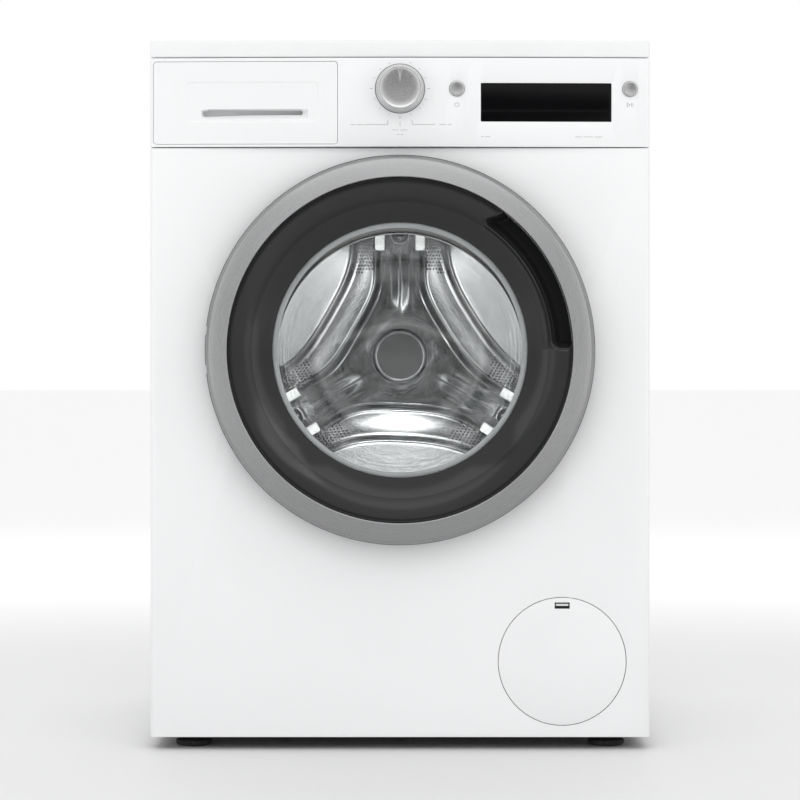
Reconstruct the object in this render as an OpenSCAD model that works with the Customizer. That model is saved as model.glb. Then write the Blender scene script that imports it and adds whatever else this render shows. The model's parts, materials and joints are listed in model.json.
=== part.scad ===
// Front load washing machine, built as an assembly.
// Millimetres. Z = 0 is the floor, the front faces -Y and the origin is the middle of the footprint.

/* [Cabinet] */
// Width of the cabinet
cabinet_w = 598; // [594:1:604]
// Height of the worktop above the floor
cabinet_h = 848; // [846:1:854]
// Depth from the front panel to the rear panel
cabinet_d = 550; // [550:1:570]
// Thickness of the sheet steel
sheet = 1; // [0.8:0.1:1.2]
// Height of the cabinet's lower edge above the floor
base_z = 16; // [15:1:18]
// Height of the seam between the front panel and the fascia
seam_z = 720; // [718:1:721]
// Thickness of the worktop
top_t = 20; // [18:1:22]
// How far the middle of the fascia stands ahead of its ends
fascia_bow = 8; // [5:1:10]
// How far the hose fittings stand behind the rear panel
rear_proud = 18; // [18:1:22]

/* [Door] */
// Height of the door's centre
door_z = 478; // [476:1:480]
// Outer radius of the silver door ring
ring_r = 232; // [231:1:233]
// Radius where the ring meets the dark bezel
bezel_r = 205; // [204:1:206]
// Radius of the visible glass
glass_r = 152; // [150:1:153]
// How far the door stands ahead of the front panel
door_proud = 38; // [38:1:40]
// Where the handle recess starts, up from the right
grip_start = 2; // [0:1:4]
// Where the handle recess ends
grip_end = 58; // [50:1:60]

/* [Tub and drum] */
// Height of the drum's axis
axis_z = 470; // [468:1:471]
// Outer radius of the drum
drum_r = 240; // [236:1:241]
// Inner radius of the tub
tub_r = 254; // [252:1:255]
// Wall of the plastic tub
tub_wall = 4; // [3:0.5:4]
// Radius of the drum's mouth
mouth_r = 152; // [150:1:154]
// Radius of the large drum pulley
pulley_r = 140; // [135:1:142]
// Radius of the motor pulley
pinion_r = 11; // [10:1:12]
// Height of the motor's axis
motor_z = 138; // [136:1:140]

/* [Controls] */
// Left edge of the drawer front
drawer_x0 = -294.8; // [-295:0.1:-294]
// Right edge of the drawer front
drawer_x1 = -74.7; // [-76:0.1:-74]
// Lower edge of the drawer front
drawer_z0 = 724.2; // [724:0.1:725]
// Radius of the programme knob
knob_r = 29; // [26:1:30]
// Height of the knob, the display and the buttons
control_z = 790; // [786:1:792]
// Left edge of the display window
display_x0 = 96.3; // [95:0.1:98]
// Width of the display window
display_w = 156.7; // [150:0.1:157]
// Height of the display window
display_h = 46.5; // [40:0.5:48]

/* [Service flap and pump] */
// Sideways place of the flap and filter
flap_x = 194; // [192:1:196]
// Height of the flap's centre
flap_z = 105.5; // [104:0.5:107]
// Radius of the flap
flap_r = 76.3; // [75:0.1:76.5]

/* [Hidden] */
$fn = 120;
half_w = cabinet_w / 2;
front_y = -(cabinet_d - door_proud + rear_proud) / 2;
rear_y = front_y + cabinet_d;
door_front = front_y - door_proud;
gap = 0.5;
fascia_z0 = seam_z + 0.7;
fascia_z1 = cabinet_h - top_t - 1;
bow_r = (half_w * half_w + fascia_bow * fascia_bow) / (2 * fascia_bow);
fascia_face = front_y - fascia_bow;
fascia_t = 3;
// Door: the hinge line stands ahead of the panel, near the ring's outer edge
hinge_x = -ring_r + 13;
hinge_y = front_y - 22;
ring_back = front_y - 6;
hole_r = 170;
lug_offset = 23;
lug_t = 8;
latch_x = 190;
latch_y = front_y - 6;
// Tub and drum, from front to back
tub_front_y = front_y + 75;
tub_split_y = front_y + 205;
tub_back_y = front_y + 453;
neck_r = 165;
neck_y = tub_front_y - 22;
drum_front_y = front_y + 93;
drum_back_y = front_y + 415;
pulley_y = front_y + 505;
belt_w = 14;
belt_t = 4;
belt_drop = axis_z - motor_z;
belt_sin = (pulley_r - pinion_r) / belt_drop;
belt_cos = sqrt(1 - belt_sin * belt_sin);
front_bearing = [15, 31, tub_back_y - 8, 16];
rear_bearing = [12.5, 26, tub_back_y + 28, 15];
fit = 0.05;
// Suspension, given for the right side and mirrored for the left
damper_low = [225, 20, 60];
damper_top = [150, 20, 240];
damper_len = norm(damper_top - damper_low);
damper_tilt = atan2(damper_low.x - damper_top.x, damper_top.z - damper_low.z);
spring_low = [225, 95, 648];
spring_top = [258, 95, 782];
pin_r = 4;
foot_x = 250;
foot_front_y = front_y + 50;
foot_rear_y = rear_y - 50;
foot_r = 22;
stem_r = 5;
// Dispenser on the left, behind the drawer front
drawer_z1 = fascia_z1 - 4.8;
tray_y0 = front_y + 14;
tray_len = 270;
house_y1 = front_y + 325;
spout = [-175, 35];
// Flap turns about a line in the panel's face
flap_hinge_z = flap_z - 62;
cap_r = 36;
bore_r = 29;
button_r = 9;
power_x = 68;
start_x = 275;
cover_w = 310;
cover_z0 = 90;
cover_z1 = 640;
outlet = [235, 120];
gland = [235, 790];
inlet = [-210, 788];
transit_holes = [for (x = [-205, 205], z = [300, 620]) [x, z]];
cover_screws = [for (x = [-162, 162], z = [130, 290, 450, 600]) [x, z]];
edge_screws = [for (x = [-285, 285], z = [60, 300, 540, 780]) [x, z]];

// ---- Shape helpers ----

// Box from one corner to the opposite one
module box(low, high) {
    translate(low) cube(high - low);
}

// Round bar along Y
module bar_y(r, y0, y1, x = 0, z = 0) {
    translate([x, y0, z]) rotate([-90, 0, 0]) cylinder(h = y1 - y0, r = r);
}

// Tube along Y
module tube_y(r_in, r_out, y0, y1, x = 0, z = 0) {
    difference() {
        bar_y(r_out, y0, y1, x, z);
        bar_y(r_in, y0 - 1, y1 + 1, x, z);
    }
}

// Solid of revolution about a line along Y; the outline is given as radius and Y
module turned_y(x, z) {
    translate([x, 0, z]) rotate([-90, 0, 0]) rotate_extrude() children();
}

// Outline in X and Z, given thickness along Y
module plate_y(y0, y1) {
    translate([0, y1, 0]) rotate([90, 0, 0]) linear_extrude(y1 - y0) children();
}

// Rectangle with round corners, made of two bars and four discs
module round_rect(low, high, r) {
    translate([low.x + r, low.y]) square([high.x - low.x - 2 * r, high.y - low.y]);
    translate([low.x, low.y + r]) square([high.x - low.x, high.y - low.y - 2 * r]);
    for (x = [low.x + r, high.x - r], y = [low.y + r, high.y - r]) {
        translate([x, y]) circle(r);
    }
}

// Plan outline with rounded front corners
module rounded_front(w, y0, y1, r) {
    translate([-w / 2, y0 + r]) square([w, y1 - y0 - r]);
    translate([-w / 2 + r, y0]) square([w - 2 * r, r + 1]);
    for (side = [-1, 1]) {
        translate([side * (w / 2 - r), y0 + r]) circle(r);
    }
}

// Y of the bowed front face at a place across the machine
function bow_y(x) = fascia_face + bow_r - sqrt(bow_r * bow_r - x * x);

// Plan outline behind the bowed front face, inset from it
module bowed_plan(x0, x1, y1, inset = 0) {
    steps = 24;
    polygon(concat([for (i = [0:steps]) let (x = x0 + (x1 - x0) * i / steps) [x, bow_y(x) + inset]],
        [[x1, y1], [x0, y1]]));
}

// Point on a cubic curve between the ends of a hose
function curve_point(p, t) = pow(1 - t, 3) * p[0] + 3 * t * pow(1 - t, 2) * p[1]
    + 3 * t * t * (1 - t) * p[2] + pow(t, 3) * p[3];

// Round hose swept along a cubic curve that is nowhere parallel to level
module swept_hose(p, r, steps = 14, sides = 14, level = [1, 0, 0]) {
    route = [for (i = [0:steps]) curve_point(p, i / steps)];
    ahead = function (i) route[min(i + 1, steps)] - route[max(i - 1, 0)];
    side = function (i) cross(level, ahead(i)) / norm(cross(level, ahead(i)));
    up = function (i) cross(ahead(i), side(i)) / norm(ahead(i));
    rings = [for (i = [0:steps], k = [0:sides - 1])
        route[i] + r * (cos(360 * k / sides) * side(i) + sin(360 * k / sides) * up(i))];
    walls = [for (i = [0:steps - 1], k = [0:sides - 1]) let (n = (k + 1) % sides)
        [i * sides + n, i * sides + k, (i + 1) * sides + k, (i + 1) * sides + n]];
    first = [for (k = [0:sides - 1]) k];
    last = [for (k = [sides - 1:-1:0]) steps * sides + k];
    polyhedron(rings, concat(walls, [first, last]));
}

// ---- Cabinet ----

module side_panel(side) {
    x0 = half_w - sheet;
    y0 = front_y + 15.5;
    top = cabinet_h - top_t - 0.2;
    color("white") mirror([side < 0 ? 1 : 0, 0, 0]) {
        box([x0, y0, base_z], [half_w, rear_y, seam_z - 2]);
        box([x0, front_y + 38.5, base_z], [half_w, rear_y, top]);
        box([x0 - 12, y0, base_z], [x0, y0 + sheet, seam_z - 2]);
        box([x0 - 17, rear_y - 2.2 * sheet, base_z], [x0, rear_y - 1.2 * sheet, top]);
        box([x0 - 12, y0 + sheet, base_z], [x0, rear_y - 2.2 * sheet, base_z + sheet]);
        // Shelf that the suspension spring hooks onto
        box([x0 - 50, spring_top.y - 18, spring_top.z + 18], [x0, spring_top.y + 18, spring_top.z + 20]);
    }
}

module side_panel_left() { side_panel(-1); }
module side_panel_right() { side_panel(1); }

module rear_panel() {
    x1 = half_w - sheet - 0.3;
    color("gainsboro") difference() {
        box([-x1, rear_y - sheet, base_z], [x1, rear_y, cabinet_h - top_t - 0.2]);
        plate_y(rear_y - 5, rear_y + 5) {
            round_rect([-cover_w / 2, cover_z0], [cover_w / 2, cover_z1], 60);
        }
        for (p = transit_holes) bar_y(12.4, rear_y - 5, rear_y + 5, p.x, p.y);
        for (p = concat(cover_screws, edge_screws)) bar_y(1.9, rear_y - 5, rear_y + 5, p.x, p.y);
        bar_y(15, rear_y - 5, rear_y + 5, inlet.x, inlet.y);
        bar_y(9.2, rear_y - 5, rear_y + 5, gland.x, gland.y);
        bar_y(14, rear_y - 5, rear_y + 5, outlet.x, outlet.y);
    }
}

// Pressed cover over the pulley and the motor
module rear_access_cover() {
    rim = [cover_w / 2 + 14, 14];
    color("gainsboro") difference() {
        union() {
            plate_y(rear_y, rear_y + sheet) {
                round_rect([-rim.x, cover_z0 - rim.y], [rim.x, cover_z1 + rim.y], 70);
            }
            plate_y(rear_y, rear_y + 14) {
                round_rect([-cover_w / 2 + 8, cover_z0 + 8], [cover_w / 2 - 8, cover_z1 - 8], 54);
            }
        }
        plate_y(rear_y - 1, rear_y + 14 - sheet) {
            round_rect([-cover_w / 2 + 9, cover_z0 + 9], [cover_w / 2 - 9, cover_z1 - 9], 53);
        }
        for (p = cover_screws) bar_y(1.9, rear_y - 5, rear_y + 5, p.x, p.y);
    }
}

module front_panel() {
    z0 = base_z - 1;
    z1 = seam_z - 0.6;
    back = front_y + 15;
    lip = 10;
    color("white") difference() {
        union() {
            difference() {
                translate([0, 0, z0]) linear_extrude(z1 - z0) rounded_front(cabinet_w, front_y, back, 6);
                translate([0, 0, z0 + sheet]) linear_extrude(z1 - z0 - 2 * sheet) {
                    rounded_front(cabinet_w - 2 * sheet, front_y + sheet, back + 1, 5);
                }
            }
            bar_y(hole_r + sheet, front_y, front_y + lip, 0, door_z);
        }
        bar_y(hole_r, front_y - 1, front_y + lip + 1, 0, door_z);
        bar_y(flap_r + 0.7, front_y - 1, front_y + 5, flap_x, flap_z);
        box([latch_x - 6, front_y - 1, door_z - 12], [latch_x + 11, front_y + 5, door_z + 12]);
        for (dz = [-lug_offset, lug_offset]) {
            box([hinge_x + 20, front_y - 1, door_z + dz - lug_t / 2 - 0.3],
                [hinge_x + 32, front_y + 5, door_z + dz + lug_t / 2 + 0.3]);
        }
    }
}

module base_tray() {
    x1 = half_w - 9;
    y0 = front_y + 17;
    y1 = rear_y - 4;
    rim_z = base_z + 24;
    lug = damper_low;
    color("dimgray") difference() {
        union() {
            difference() {
                box([-x1, y0, base_z + 1.2], [x1, y1, rim_z]);
                box([-x1 + 3, y0 + 3, base_z + 4], [x1 - 3, y1 - 3, rim_z + 1]);
            }
            for (x = [-foot_x, foot_x], y = [foot_front_y, foot_rear_y]) {
                translate([x, y, base_z + 1.2]) cylinder(h = 26, r = 15);
            }
            for (side = [-1, 1], y = [lug.y - 12, lug.y + 8.5]) {
                box([side * lug.x - 10, y, base_z + 3], [side * lug.x + 10, y + 3.5, lug.z + 6]);
            }
            for (side = [-1, 1]) bar_y(pin_r, lug.y - 12, lug.y + 12, side * lug.x, lug.z);
            // Ribs under the drain pump
            box([flap_x - 30, front_y + 40, base_z + 3], [flap_x + 30, front_y + 46, flap_z - 33.2]);
            box([flap_x - 30, front_y + 110, base_z + 3], [flap_x + 30, front_y + 116, flap_z - 38.2]);
        }
        for (x = [-foot_x, foot_x], y = [foot_front_y, foot_rear_y]) {
            translate([x, y, base_z - 2]) cylinder(h = 36, r = stem_r + fit);
        }
    }
}

module top_cover() {
    z0 = cabinet_h - top_t;
    corner = 8;
    color("white") difference() {
        translate([0, 0, z0]) linear_extrude(top_t) intersection() {
            bowed_plan(-half_w, half_w, rear_y);
            union() {
                rounded_front(cabinet_w, fascia_face, rear_y - corner, corner);
                mirror([0, 1]) rounded_front(cabinet_w, -rear_y, -front_y - 40, corner);
            }
        }
        // Hollow underside behind a plastic frame
        box([-half_w + 22, front_y + 22, z0 - 1], [half_w - 22, rear_y - 22, z0 + 5]);
    }
}

module control_fascia() {
    x1 = half_w - fascia_t;
    back = front_y + 38;
    hole_y = fascia_face - 5;
    color("white") difference() {
        translate([0, 0, fascia_z0]) linear_extrude(fascia_z1 - fascia_z0) bowed_plan(-half_w, half_w, back);
        translate([0, 0, fascia_z0 + 2.5]) linear_extrude(fascia_z1 - fascia_z0 - 5) {
            bowed_plan(-x1, x1, back + 1, fascia_t);
        }
        box([drawer_x0 - gap, hole_y, drawer_z0 - gap], [drawer_x1 + gap, front_y + 14, drawer_z1 + gap]);
        box([display_x0, hole_y, display_z(0)], [display_x0 + display_w, front_y + 6, display_z(1)]);
        bar_y(4.3, hole_y, front_y + 6, 0, control_z);
        for (x = [power_x, start_x]) bar_y(button_r + 0.4, hole_y, front_y + 6, x, control_z);
    }
}

function display_z(end) = control_z - 39.5 + end * display_h;

// Black window with its frame behind the fascia
module display_window() {
    inset = 0.4;
    z0 = display_z(0) + inset;
    x0 = display_x0 + inset;
    x1 = display_x0 + display_w - inset;
    color("black") {
        translate([0, 0, z0]) linear_extrude(display_h - 2 * inset) bowed_plan(x0, x1, front_y + 3);
    }
}

module control_board() {
    y0 = front_y + 17;
    color("darkgreen") difference() {
        union() {
            box([-52, y0 + 8, 736], [290, y0 + 10, 816]);
            box([-56, y0 + 10.2, 732], [292, y0 + 24, 818]);
            // Encoder, display carrier and switches
            bar_y(9, y0, y0 + 8.2, 0, control_z);
            box([display_x0 + 4, y0, 752], [display_x0 + display_w - 4, y0 + 8.2, 792]);
            for (x = [power_x, start_x]) bar_y(5, y0 - 6, y0 + 8.2, x, control_z);
        }
        box([-53, y0 + 9.9, 735], [289, y0 + 22, 815]);
        bar_y(4.3, y0 - 1, y0 + 6, 0, control_z);
    }
}

module dispenser_housing() {
    x0 = drawer_x0 + 3;
    x1 = drawer_x1 - 3;
    wall = 2.5;
    z0 = 740;
    z1 = 818;
    y0 = tray_y0 + 0.6;
    color("lightgray") difference() {
        union() {
            box([x0, y0, z0], [x1, house_y1, z1]);
            translate([spout.x, spout.y, z0 - 10]) cylinder(h = 11, r = 20);
            bar_y(7, house_y1 - 1, house_y1 + 12, inlet.x, inlet.y + 4);
        }
        box([x0 + wall, y0 - 1, z0 + wall], [x1 - wall, house_y1 - wall, z1 - wall]);
        translate([spout.x, spout.y, z0 - 11]) cylinder(h = 20, r = 17);
        bar_y(5, house_y1 - 5, house_y1 + 13, inlet.x, inlet.y + 4);
    }
}

module inlet_valve() {
    y1 = rear_y - sheet;
    color("white") difference() {
        union() {
            box([inlet.x - 20, y1 - 34, inlet.y - 17], [inlet.x + 20, y1, inlet.y + 17]);
            bar_y(13.2, y1 - 1, rear_y + rear_proud, inlet.x, inlet.y);
            bar_y(7, y1 - 48, y1 - 33, inlet.x, inlet.y);
            translate([inlet.x, y1 - 17, inlet.y + 16]) cylinder(h = 16, r = 13);
        }
        bar_y(9.5, y1 - 10, rear_y + rear_proud + 1, inlet.x, inlet.y);
        bar_y(5, y1 - 49, y1 - 20, inlet.x, inlet.y);
    }
}

module inlet_hose() {
    start = [inlet.x, rear_y - sheet - 50, inlet.y];
    end = [inlet.x, house_y1 + 14, inlet.y + 4];
    sag = [0, 0, -5];
    third = (end - start) / 3;
    color("gray") swept_hose([start, start + third + sag, end - third + sag, end], 9);
}

// Bellows from the dispenser down to the tub
module dispenser_hose() {
    bottom = 684.5;
    color("dimgray") translate([spout.x, spout.y, bottom]) difference() {
        cylinder(h = 45, r = 21);
        translate([0, 0, -1]) cylinder(h = 47, r = 18);
    }
}

module door_gasket() {
    lip = front_y + 2;
    color("gray") turned_y(0, door_z) polygon([
        [161, lip], [hole_r - 0.5, lip], [hole_r - 0.5, lip + 12], [178, lip + 17], [178, lip + 23],
        [160, lip + 30], [160, lip + 34], [176, lip + 40], [176, lip + 49], [170, neck_y - 0.6],
        [165, neck_y - 0.6], [170, lip + 47], [170, lip + 44], [154, lip + 36], [154, lip + 28],
        [171, lip + 20], [161, lip + 13]]);
}

module door_lock() {
    y0 = front_y + 1.4;
    color("ivory") difference() {
        box([latch_x - 9, y0, door_z - 28], [latch_x + 34, y0 + 34, door_z + 28]);
        box([latch_x - 6, y0 - 1, door_z - 13], [latch_x + 16, y0 + 24, door_z + 13]);
    }
}

// Fixed half of the hinge: a plate, two goose-neck lugs and the pin
module hinge_plate() {
    plate_y0 = front_y + 1;
    color("silver") {
        box([hinge_x + 12, plate_y0, door_z - 42], [hinge_x + 40, plate_y0 + 2, door_z + 42]);
        for (dz = [-lug_offset, lug_offset]) {
            z0 = door_z + dz - lug_t / 2;
            translate([hinge_x, hinge_y, z0]) cylinder(h = lug_t, r = 6.5);
            box([hinge_x, hinge_y - 4, z0], [hinge_x + 31, hinge_y + 4, z0 + lug_t]);
            box([hinge_x + 21, hinge_y, z0], [hinge_x + 31, plate_y0 + 1, z0 + lug_t]);
        }
        translate([hinge_x, hinge_y, door_z - lug_offset]) cylinder(h = 2 * lug_offset, r = pin_r);
    }
}

module drain_pump() {
    y0 = front_y + 25;
    inlet_x = flap_x - 9;
    inlet_y = front_y + 80;
    color("whitesmoke") difference() {
        union() {
            bar_y(33, y0, y0 + 85, flap_x, flap_z);
            bar_y(38, y0 + 84, y0 + 118, flap_x, flap_z);
            bar_y(28, y0 + 117, y0 + 175, flap_x, flap_z);
            translate([inlet_x, inlet_y, flap_z]) cylinder(h = 45, r = 20);
            translate([flap_x + 30, y0 + 100, flap_z]) rotate([0, 90, 0]) cylinder(h = 26, r = 11);
        }
        bar_y(bore_r, y0 - 1, y0 + 80, flap_x, flap_z);
        translate([inlet_x, inlet_y, flap_z]) cylinder(h = 46, r = 16);
        translate([flap_x + 32, y0 + 100, flap_z]) rotate([0, 90, 0]) cylinder(h = 26, r = 8);
    }
}

module sump_hose() {
    end = [flap_x - 9, front_y + 80, flap_z + 47.5];
    start = [150, tub_front_y + 25, 222.5];
    color("dimgray") swept_hose([start, start - [0, 0, 30], end + [0, 0, 30], end], 21);
}

// Hose from the pump to the outlet at the rear
module drain_hose() {
    start = [flap_x + 59.5, front_y + 125, flap_z];
    end = [outlet.x, rear_y - 8, outlet.y];
    up = [0, 0, 1];
    color("gray") {
        swept_hose([start, start + [22, 0, 0], [272, -80, 74], [272, 20, 70]], 11, 10, 12, up);
        swept_hose([[272, 20, 70], [272, 120, 66], end - [0, 90, 0], end], 11, 12, 12, up);
        bar_y(13, rear_y - 9, rear_y, outlet.x, outlet.y);
        difference() {
            bar_y(10.5, rear_y - 1, rear_y + rear_proud, outlet.x, outlet.y);
            bar_y(8, rear_y + 1, rear_y + rear_proud + 1, outlet.x, outlet.y);
        }
    }
}

module pressure_switch() {
    x1 = half_w - sheet;
    color("white") translate([x1, 185, 770]) rotate([0, -90, 0]) {
        cylinder(h = 22, r = 20);
        translate([0, 0, 21]) cylinder(h = 10, r = 4);
    }
}

module cable_gland() {
    color("dimgray") difference() {
        union() {
            bar_y(9, rear_y - 10, rear_y + 12, gland.x, gland.y);
            plate_y(rear_y, rear_y + 4) translate(gland) circle(13, $fn = 6);
        }
        bar_y(4.5, rear_y - 11, rear_y + 13, gland.x, gland.y);
    }
}

module transit_caps() {
    color("gray") for (p = transit_holes) {
        bar_y(17, rear_y, rear_y + 3, p.x, p.y);
        bar_y(12, rear_y - 8, rear_y + 1, p.x, p.y);
    }
}

module panel_screws() {
    color("silver") for (p = concat(cover_screws, edge_screws)) {
        seat = abs(p.x) < 200 ? rear_y + sheet : rear_y;
        bar_y(4.2, seat, seat + 2.4, p.x, p.y);
        bar_y(1.8, seat - 0.9, seat + 1, p.x, p.y);
    }
}

// ---- Tub, which hangs on the springs ----

// Frame of reference for parts round the drum's axis
module on_axis() {
    translate([0, 0, axis_z]) children();
}

module tub_rear() {
    r2 = tub_r + tub_wall;
    floor_y = tub_back_y - 2;
    boss_r = 48;
    low = damper_top;
    color("lightgray") difference() {
        union() {
            tube_y(tub_r, r2, tub_split_y, floor_y + 6, 0, axis_z);
            tube_y(r2 - 1, r2 + 8, tub_split_y, tub_split_y + 6, 0, axis_z);
            bar_y(r2, floor_y, floor_y + 6, 0, axis_z);
            bar_y(boss_r, front_bearing[2] - 3, rear_bearing[2] + rear_bearing[3] + 4, 0, axis_z);
            on_axis() for (a = [15:30:345]) {
                rotate([0, -a, 0]) box([boss_r - 2, floor_y + 5, -2], [tub_r - 2, floor_y + 24, 2]);
            }
            // Lugs for the springs, the dampers and the motor
            for (side = [-1, 1]) {
                box([side * 212 - 22, spring_low.y - 9, spring_low.z - 36],
                    [side * 212 + 22, spring_low.y + 9, spring_low.z - 24]);
                for (y = [low.y - 12, low.y + 8.5]) {
                    box([side * low.x - 10, y, low.z - 6], [side * low.x + 10, y + 3.5, low.z + 28]);
                }
                bar_y(pin_r, low.y - 12, low.y + 12, side * low.x, low.z);
                for (y = [95, 160]) {
                    box([side * 45 - 8, y, motor_z + 57], [side * 45 + 8, y + 14, axis_z - tub_r]);
                }
            }
            translate([spout.x, spout.y, axis_z + 180]) cylinder(h = 34, r = 20);
        }
        bar_y(tub_r, tub_split_y - 1, floor_y, 0, axis_z);
        translate([spout.x, spout.y, axis_z + 160]) cylinder(h = 60, r = 16);
        for (b = [front_bearing, rear_bearing]) bar_y(b[1], b[2], b[2] + b[3], 0, axis_z);
        bar_y(20, front_bearing[2] - 4, rear_bearing[2] + 30, 0, axis_z);
        box([-32, floor_y - 1, axis_z - 252], [32, floor_y + 7, axis_z - 240]);
    }
}

module tub_front() {
    r2 = tub_r + tub_wall;
    color("lightgray") difference() {
        union() {
            bar_y(r2, tub_front_y, tub_split_y, 0, axis_z);
            bar_y(r2 + 8, tub_split_y - 6, tub_split_y, 0, axis_z);
            bar_y(neck_r + tub_wall, neck_y, tub_front_y + 1, 0, axis_z);
            translate([150, tub_front_y + 25, 225]) cylinder(h = 48, r = 24);
        }
        bar_y(tub_r, tub_front_y + tub_wall, tub_split_y + 1, 0, axis_z);
        bar_y(neck_r, neck_y - 1, tub_front_y + 5, 0, axis_z);
        translate([150, tub_front_y + 25, 224]) cylinder(h = 60, r = 15);
    }
}

// Concrete ring bolted to the front of the tub
module front_counterweight() {
    color("gray") difference() {
        tube_y(hole_r + 22, tub_r - 2, tub_front_y - 30, tub_front_y - 0.2, 0, axis_z);
        for (a = [45:90:315]) on_axis() {
            rotate([0, a, 0]) bar_y(9, tub_front_y - 31, tub_front_y - 20, (hole_r + tub_r) / 2 + 10, 0);
        }
    }
}

module top_counterweight() {
    clear = tub_r + tub_wall + 0.2;
    color("gray") difference() {
        box([-60, tub_split_y + 8, axis_z + 165], [190, tub_split_y + 236, axis_z + 330]);
        bar_y(clear, tub_split_y, tub_split_y + 250, 0, axis_z);
        for (x = [-30, 150]) translate([x, tub_split_y + 120, axis_z + 310]) cylinder(h = 30, r = 12);
    }
}

module drum_bearings() {
    color("silver") for (b = [front_bearing, rear_bearing]) {
        tube_y(b[0] + fit, b[1], b[2], b[2] + b[3], 0, axis_z);
    }
}

// Two bars between drum and tub, joined at the front, with a flange outside
module heating_element() {
    r = tub_r - 7;
    y1 = tub_back_y + 4;
    z = axis_z - r;
    color("silver") {
        for (x = [-22, 22]) {
            bar_y(3.5, tub_split_y + 20, y1 + 1, x, z + 0.6);
            bar_y(4, y1 + 3, y1 + 16, x, z + 0.6);
        }
        box([-22, tub_split_y + 18, z - 2.4], [22, tub_split_y + 24, z + 3.6]);
        box([-31.5, tub_back_y - 1.5, z - 4.5], [31.5, y1 + 4, z + 6.5]);
    }
}

module motor_housing() {
    y0 = front_y + 335;
    y1 = y0 + 120;
    color("dimgray") difference() {
        union() {
            bar_y(58, y0 + 12, y1 - 12, 0, motor_z);
            bar_y(50, y0, y1, 0, motor_z);
            for (side = [-1, 1], y = [95, 160]) {
                box([side * 45 - 8, y, motor_z + 30], [side * 45 + 8, y + 14, motor_z + 57]);
            }
        }
        bar_y(8 + fit, y1 - 40, y1 + 1, 0, motor_z);
    }
}

// Outline of a belt round both pulleys, standing off from them by d
module belt_outline(d) {
    big = pulley_r + d;
    small = pinion_r + d;
    circle(big);
    translate([0, -belt_drop]) circle(small);
    polygon([[belt_cos * big, -belt_sin * big], [-belt_cos * big, -belt_sin * big],
        [-belt_cos * small, -belt_drop - belt_sin * small],
        [belt_cos * small, -belt_drop - belt_sin * small]]);
}

module drive_belt() {
    color("black") on_axis() plate_y(pulley_y + 1, pulley_y + 1 + belt_w) difference() {
        belt_outline(0.3 + belt_t);
        belt_outline(0.3);
    }
}

// ---- Drum ----

module drum_shell() {
    lip_y = drum_front_y - 8;
    color("silver") {
        tube_y(drum_r - 1, drum_r, drum_front_y, drum_back_y, 0, axis_z);
        tube_y(mouth_r - 1, drum_r - 0.5, drum_front_y, drum_front_y + 1, 0, axis_z);
        tube_y(mouth_r - 2, mouth_r, lip_y, drum_front_y + 1, 0, axis_z);
    }
}

// Back wall with three raised arms that match the spider behind it
module drum_back() {
    arm = 40;
    color("silver") difference() {
        union() {
            bar_y(drum_r, drum_back_y, drum_back_y + 2, 0, axis_z);
            bar_y(34, drum_back_y - 10, drum_back_y + 1, 0, axis_z);
            on_axis() for (a = [90, 210, 330]) rotate([0, -a, 0]) {
                box([20, drum_back_y - 8, -arm / 2], [drum_r - 30, drum_back_y + 1, arm / 2]);
            }
        }
        bar_y(32, drum_back_y - 8, drum_back_y + 0.8, 0, axis_z);
    }
}

// Lifters inside the drum, ahead of each arm
module drum_paddles() {
    reach = drum_r - 105;
    color("whitesmoke") on_axis() for (a = [90, 210, 330]) rotate([0, 90 - a, 0]) intersection() {
        plate_y(drum_front_y + 20, drum_back_y - 20) polygon([
            [-38, drum_r], [-31, drum_r - 18], [-10, reach + 6], [-6, reach], [6, reach],
            [10, reach + 6], [31, drum_r - 18], [38, drum_r]]);
        bar_y(drum_r - 1, drum_front_y, drum_back_y);
    }
}

// Cast arms with the shaft
module drum_spider() {
    arm_y = drum_back_y + 2;
    step_y = rear_bearing[2] - 4;
    color("slategray") {
        on_axis() for (a = [90, 210, 330]) rotate([0, 90 - a, 0]) plate_y(arm_y, arm_y + 20) {
            polygon([[-36, 0], [-18, drum_r - 6], [18, drum_r - 6], [36, 0]]);
        }
        bar_y(46, arm_y, arm_y + 20, 0, axis_z);
        bar_y(front_bearing[0], arm_y, step_y, 0, axis_z);
        bar_y(rear_bearing[0], step_y - 1, pulley_y + 24, 0, axis_z);
    }
}

module drum_pulley() {
    y1 = pulley_y + 16;
    rim = pulley_r - 12;
    color("silver") difference() {
        union() {
            tube_y(rim, pulley_r, pulley_y, y1, 0, axis_z);
            bar_y(rim + 1, pulley_y + 4, pulley_y + 11, 0, axis_z);
            bar_y(28, pulley_y, y1 + 3, 0, axis_z);
        }
        bar_y(rear_bearing[0], pulley_y - 1, y1 + 4, 0, axis_z);
        on_axis() for (a = [30:60:330]) rotate([0, a, 0]) bar_y(33, pulley_y, y1, rim - 48, 0);
    }
}

module motor_pulley() {
    color("silver") {
        bar_y(8, front_y + 425, pulley_y + 20, 0, motor_z);
        bar_y(pinion_r, pulley_y, pulley_y + 16, 0, motor_z);
        bar_y(pinion_r + 3, pulley_y - 2.2, pulley_y, 0, motor_z);
    }
}

// ---- Suspension ----

// Places a part that lies along the damper, from its lower pin
module along_damper(side) {
    translate([side * damper_low.x, damper_low.y, damper_low.z])
        rotate([0, -side * damper_tilt, 0]) children();
}

module damper_tube(side) {
    color("gray") along_damper(side) difference() {
        union() {
            rotate([90, 0, 0]) translate([0, 0, -8]) cylinder(h = 16, r = 11);
            cylinder(h = 20, r = 8);
            translate([0, 0, 18]) cylinder(h = 112, r = 17);
        }
        translate([0, 0, 24]) cylinder(h = 120, r = 12.6);
        rotate([90, 0, 0]) translate([0, 0, -9]) cylinder(h = 18, r = pin_r + fit);
    }
}

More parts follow.
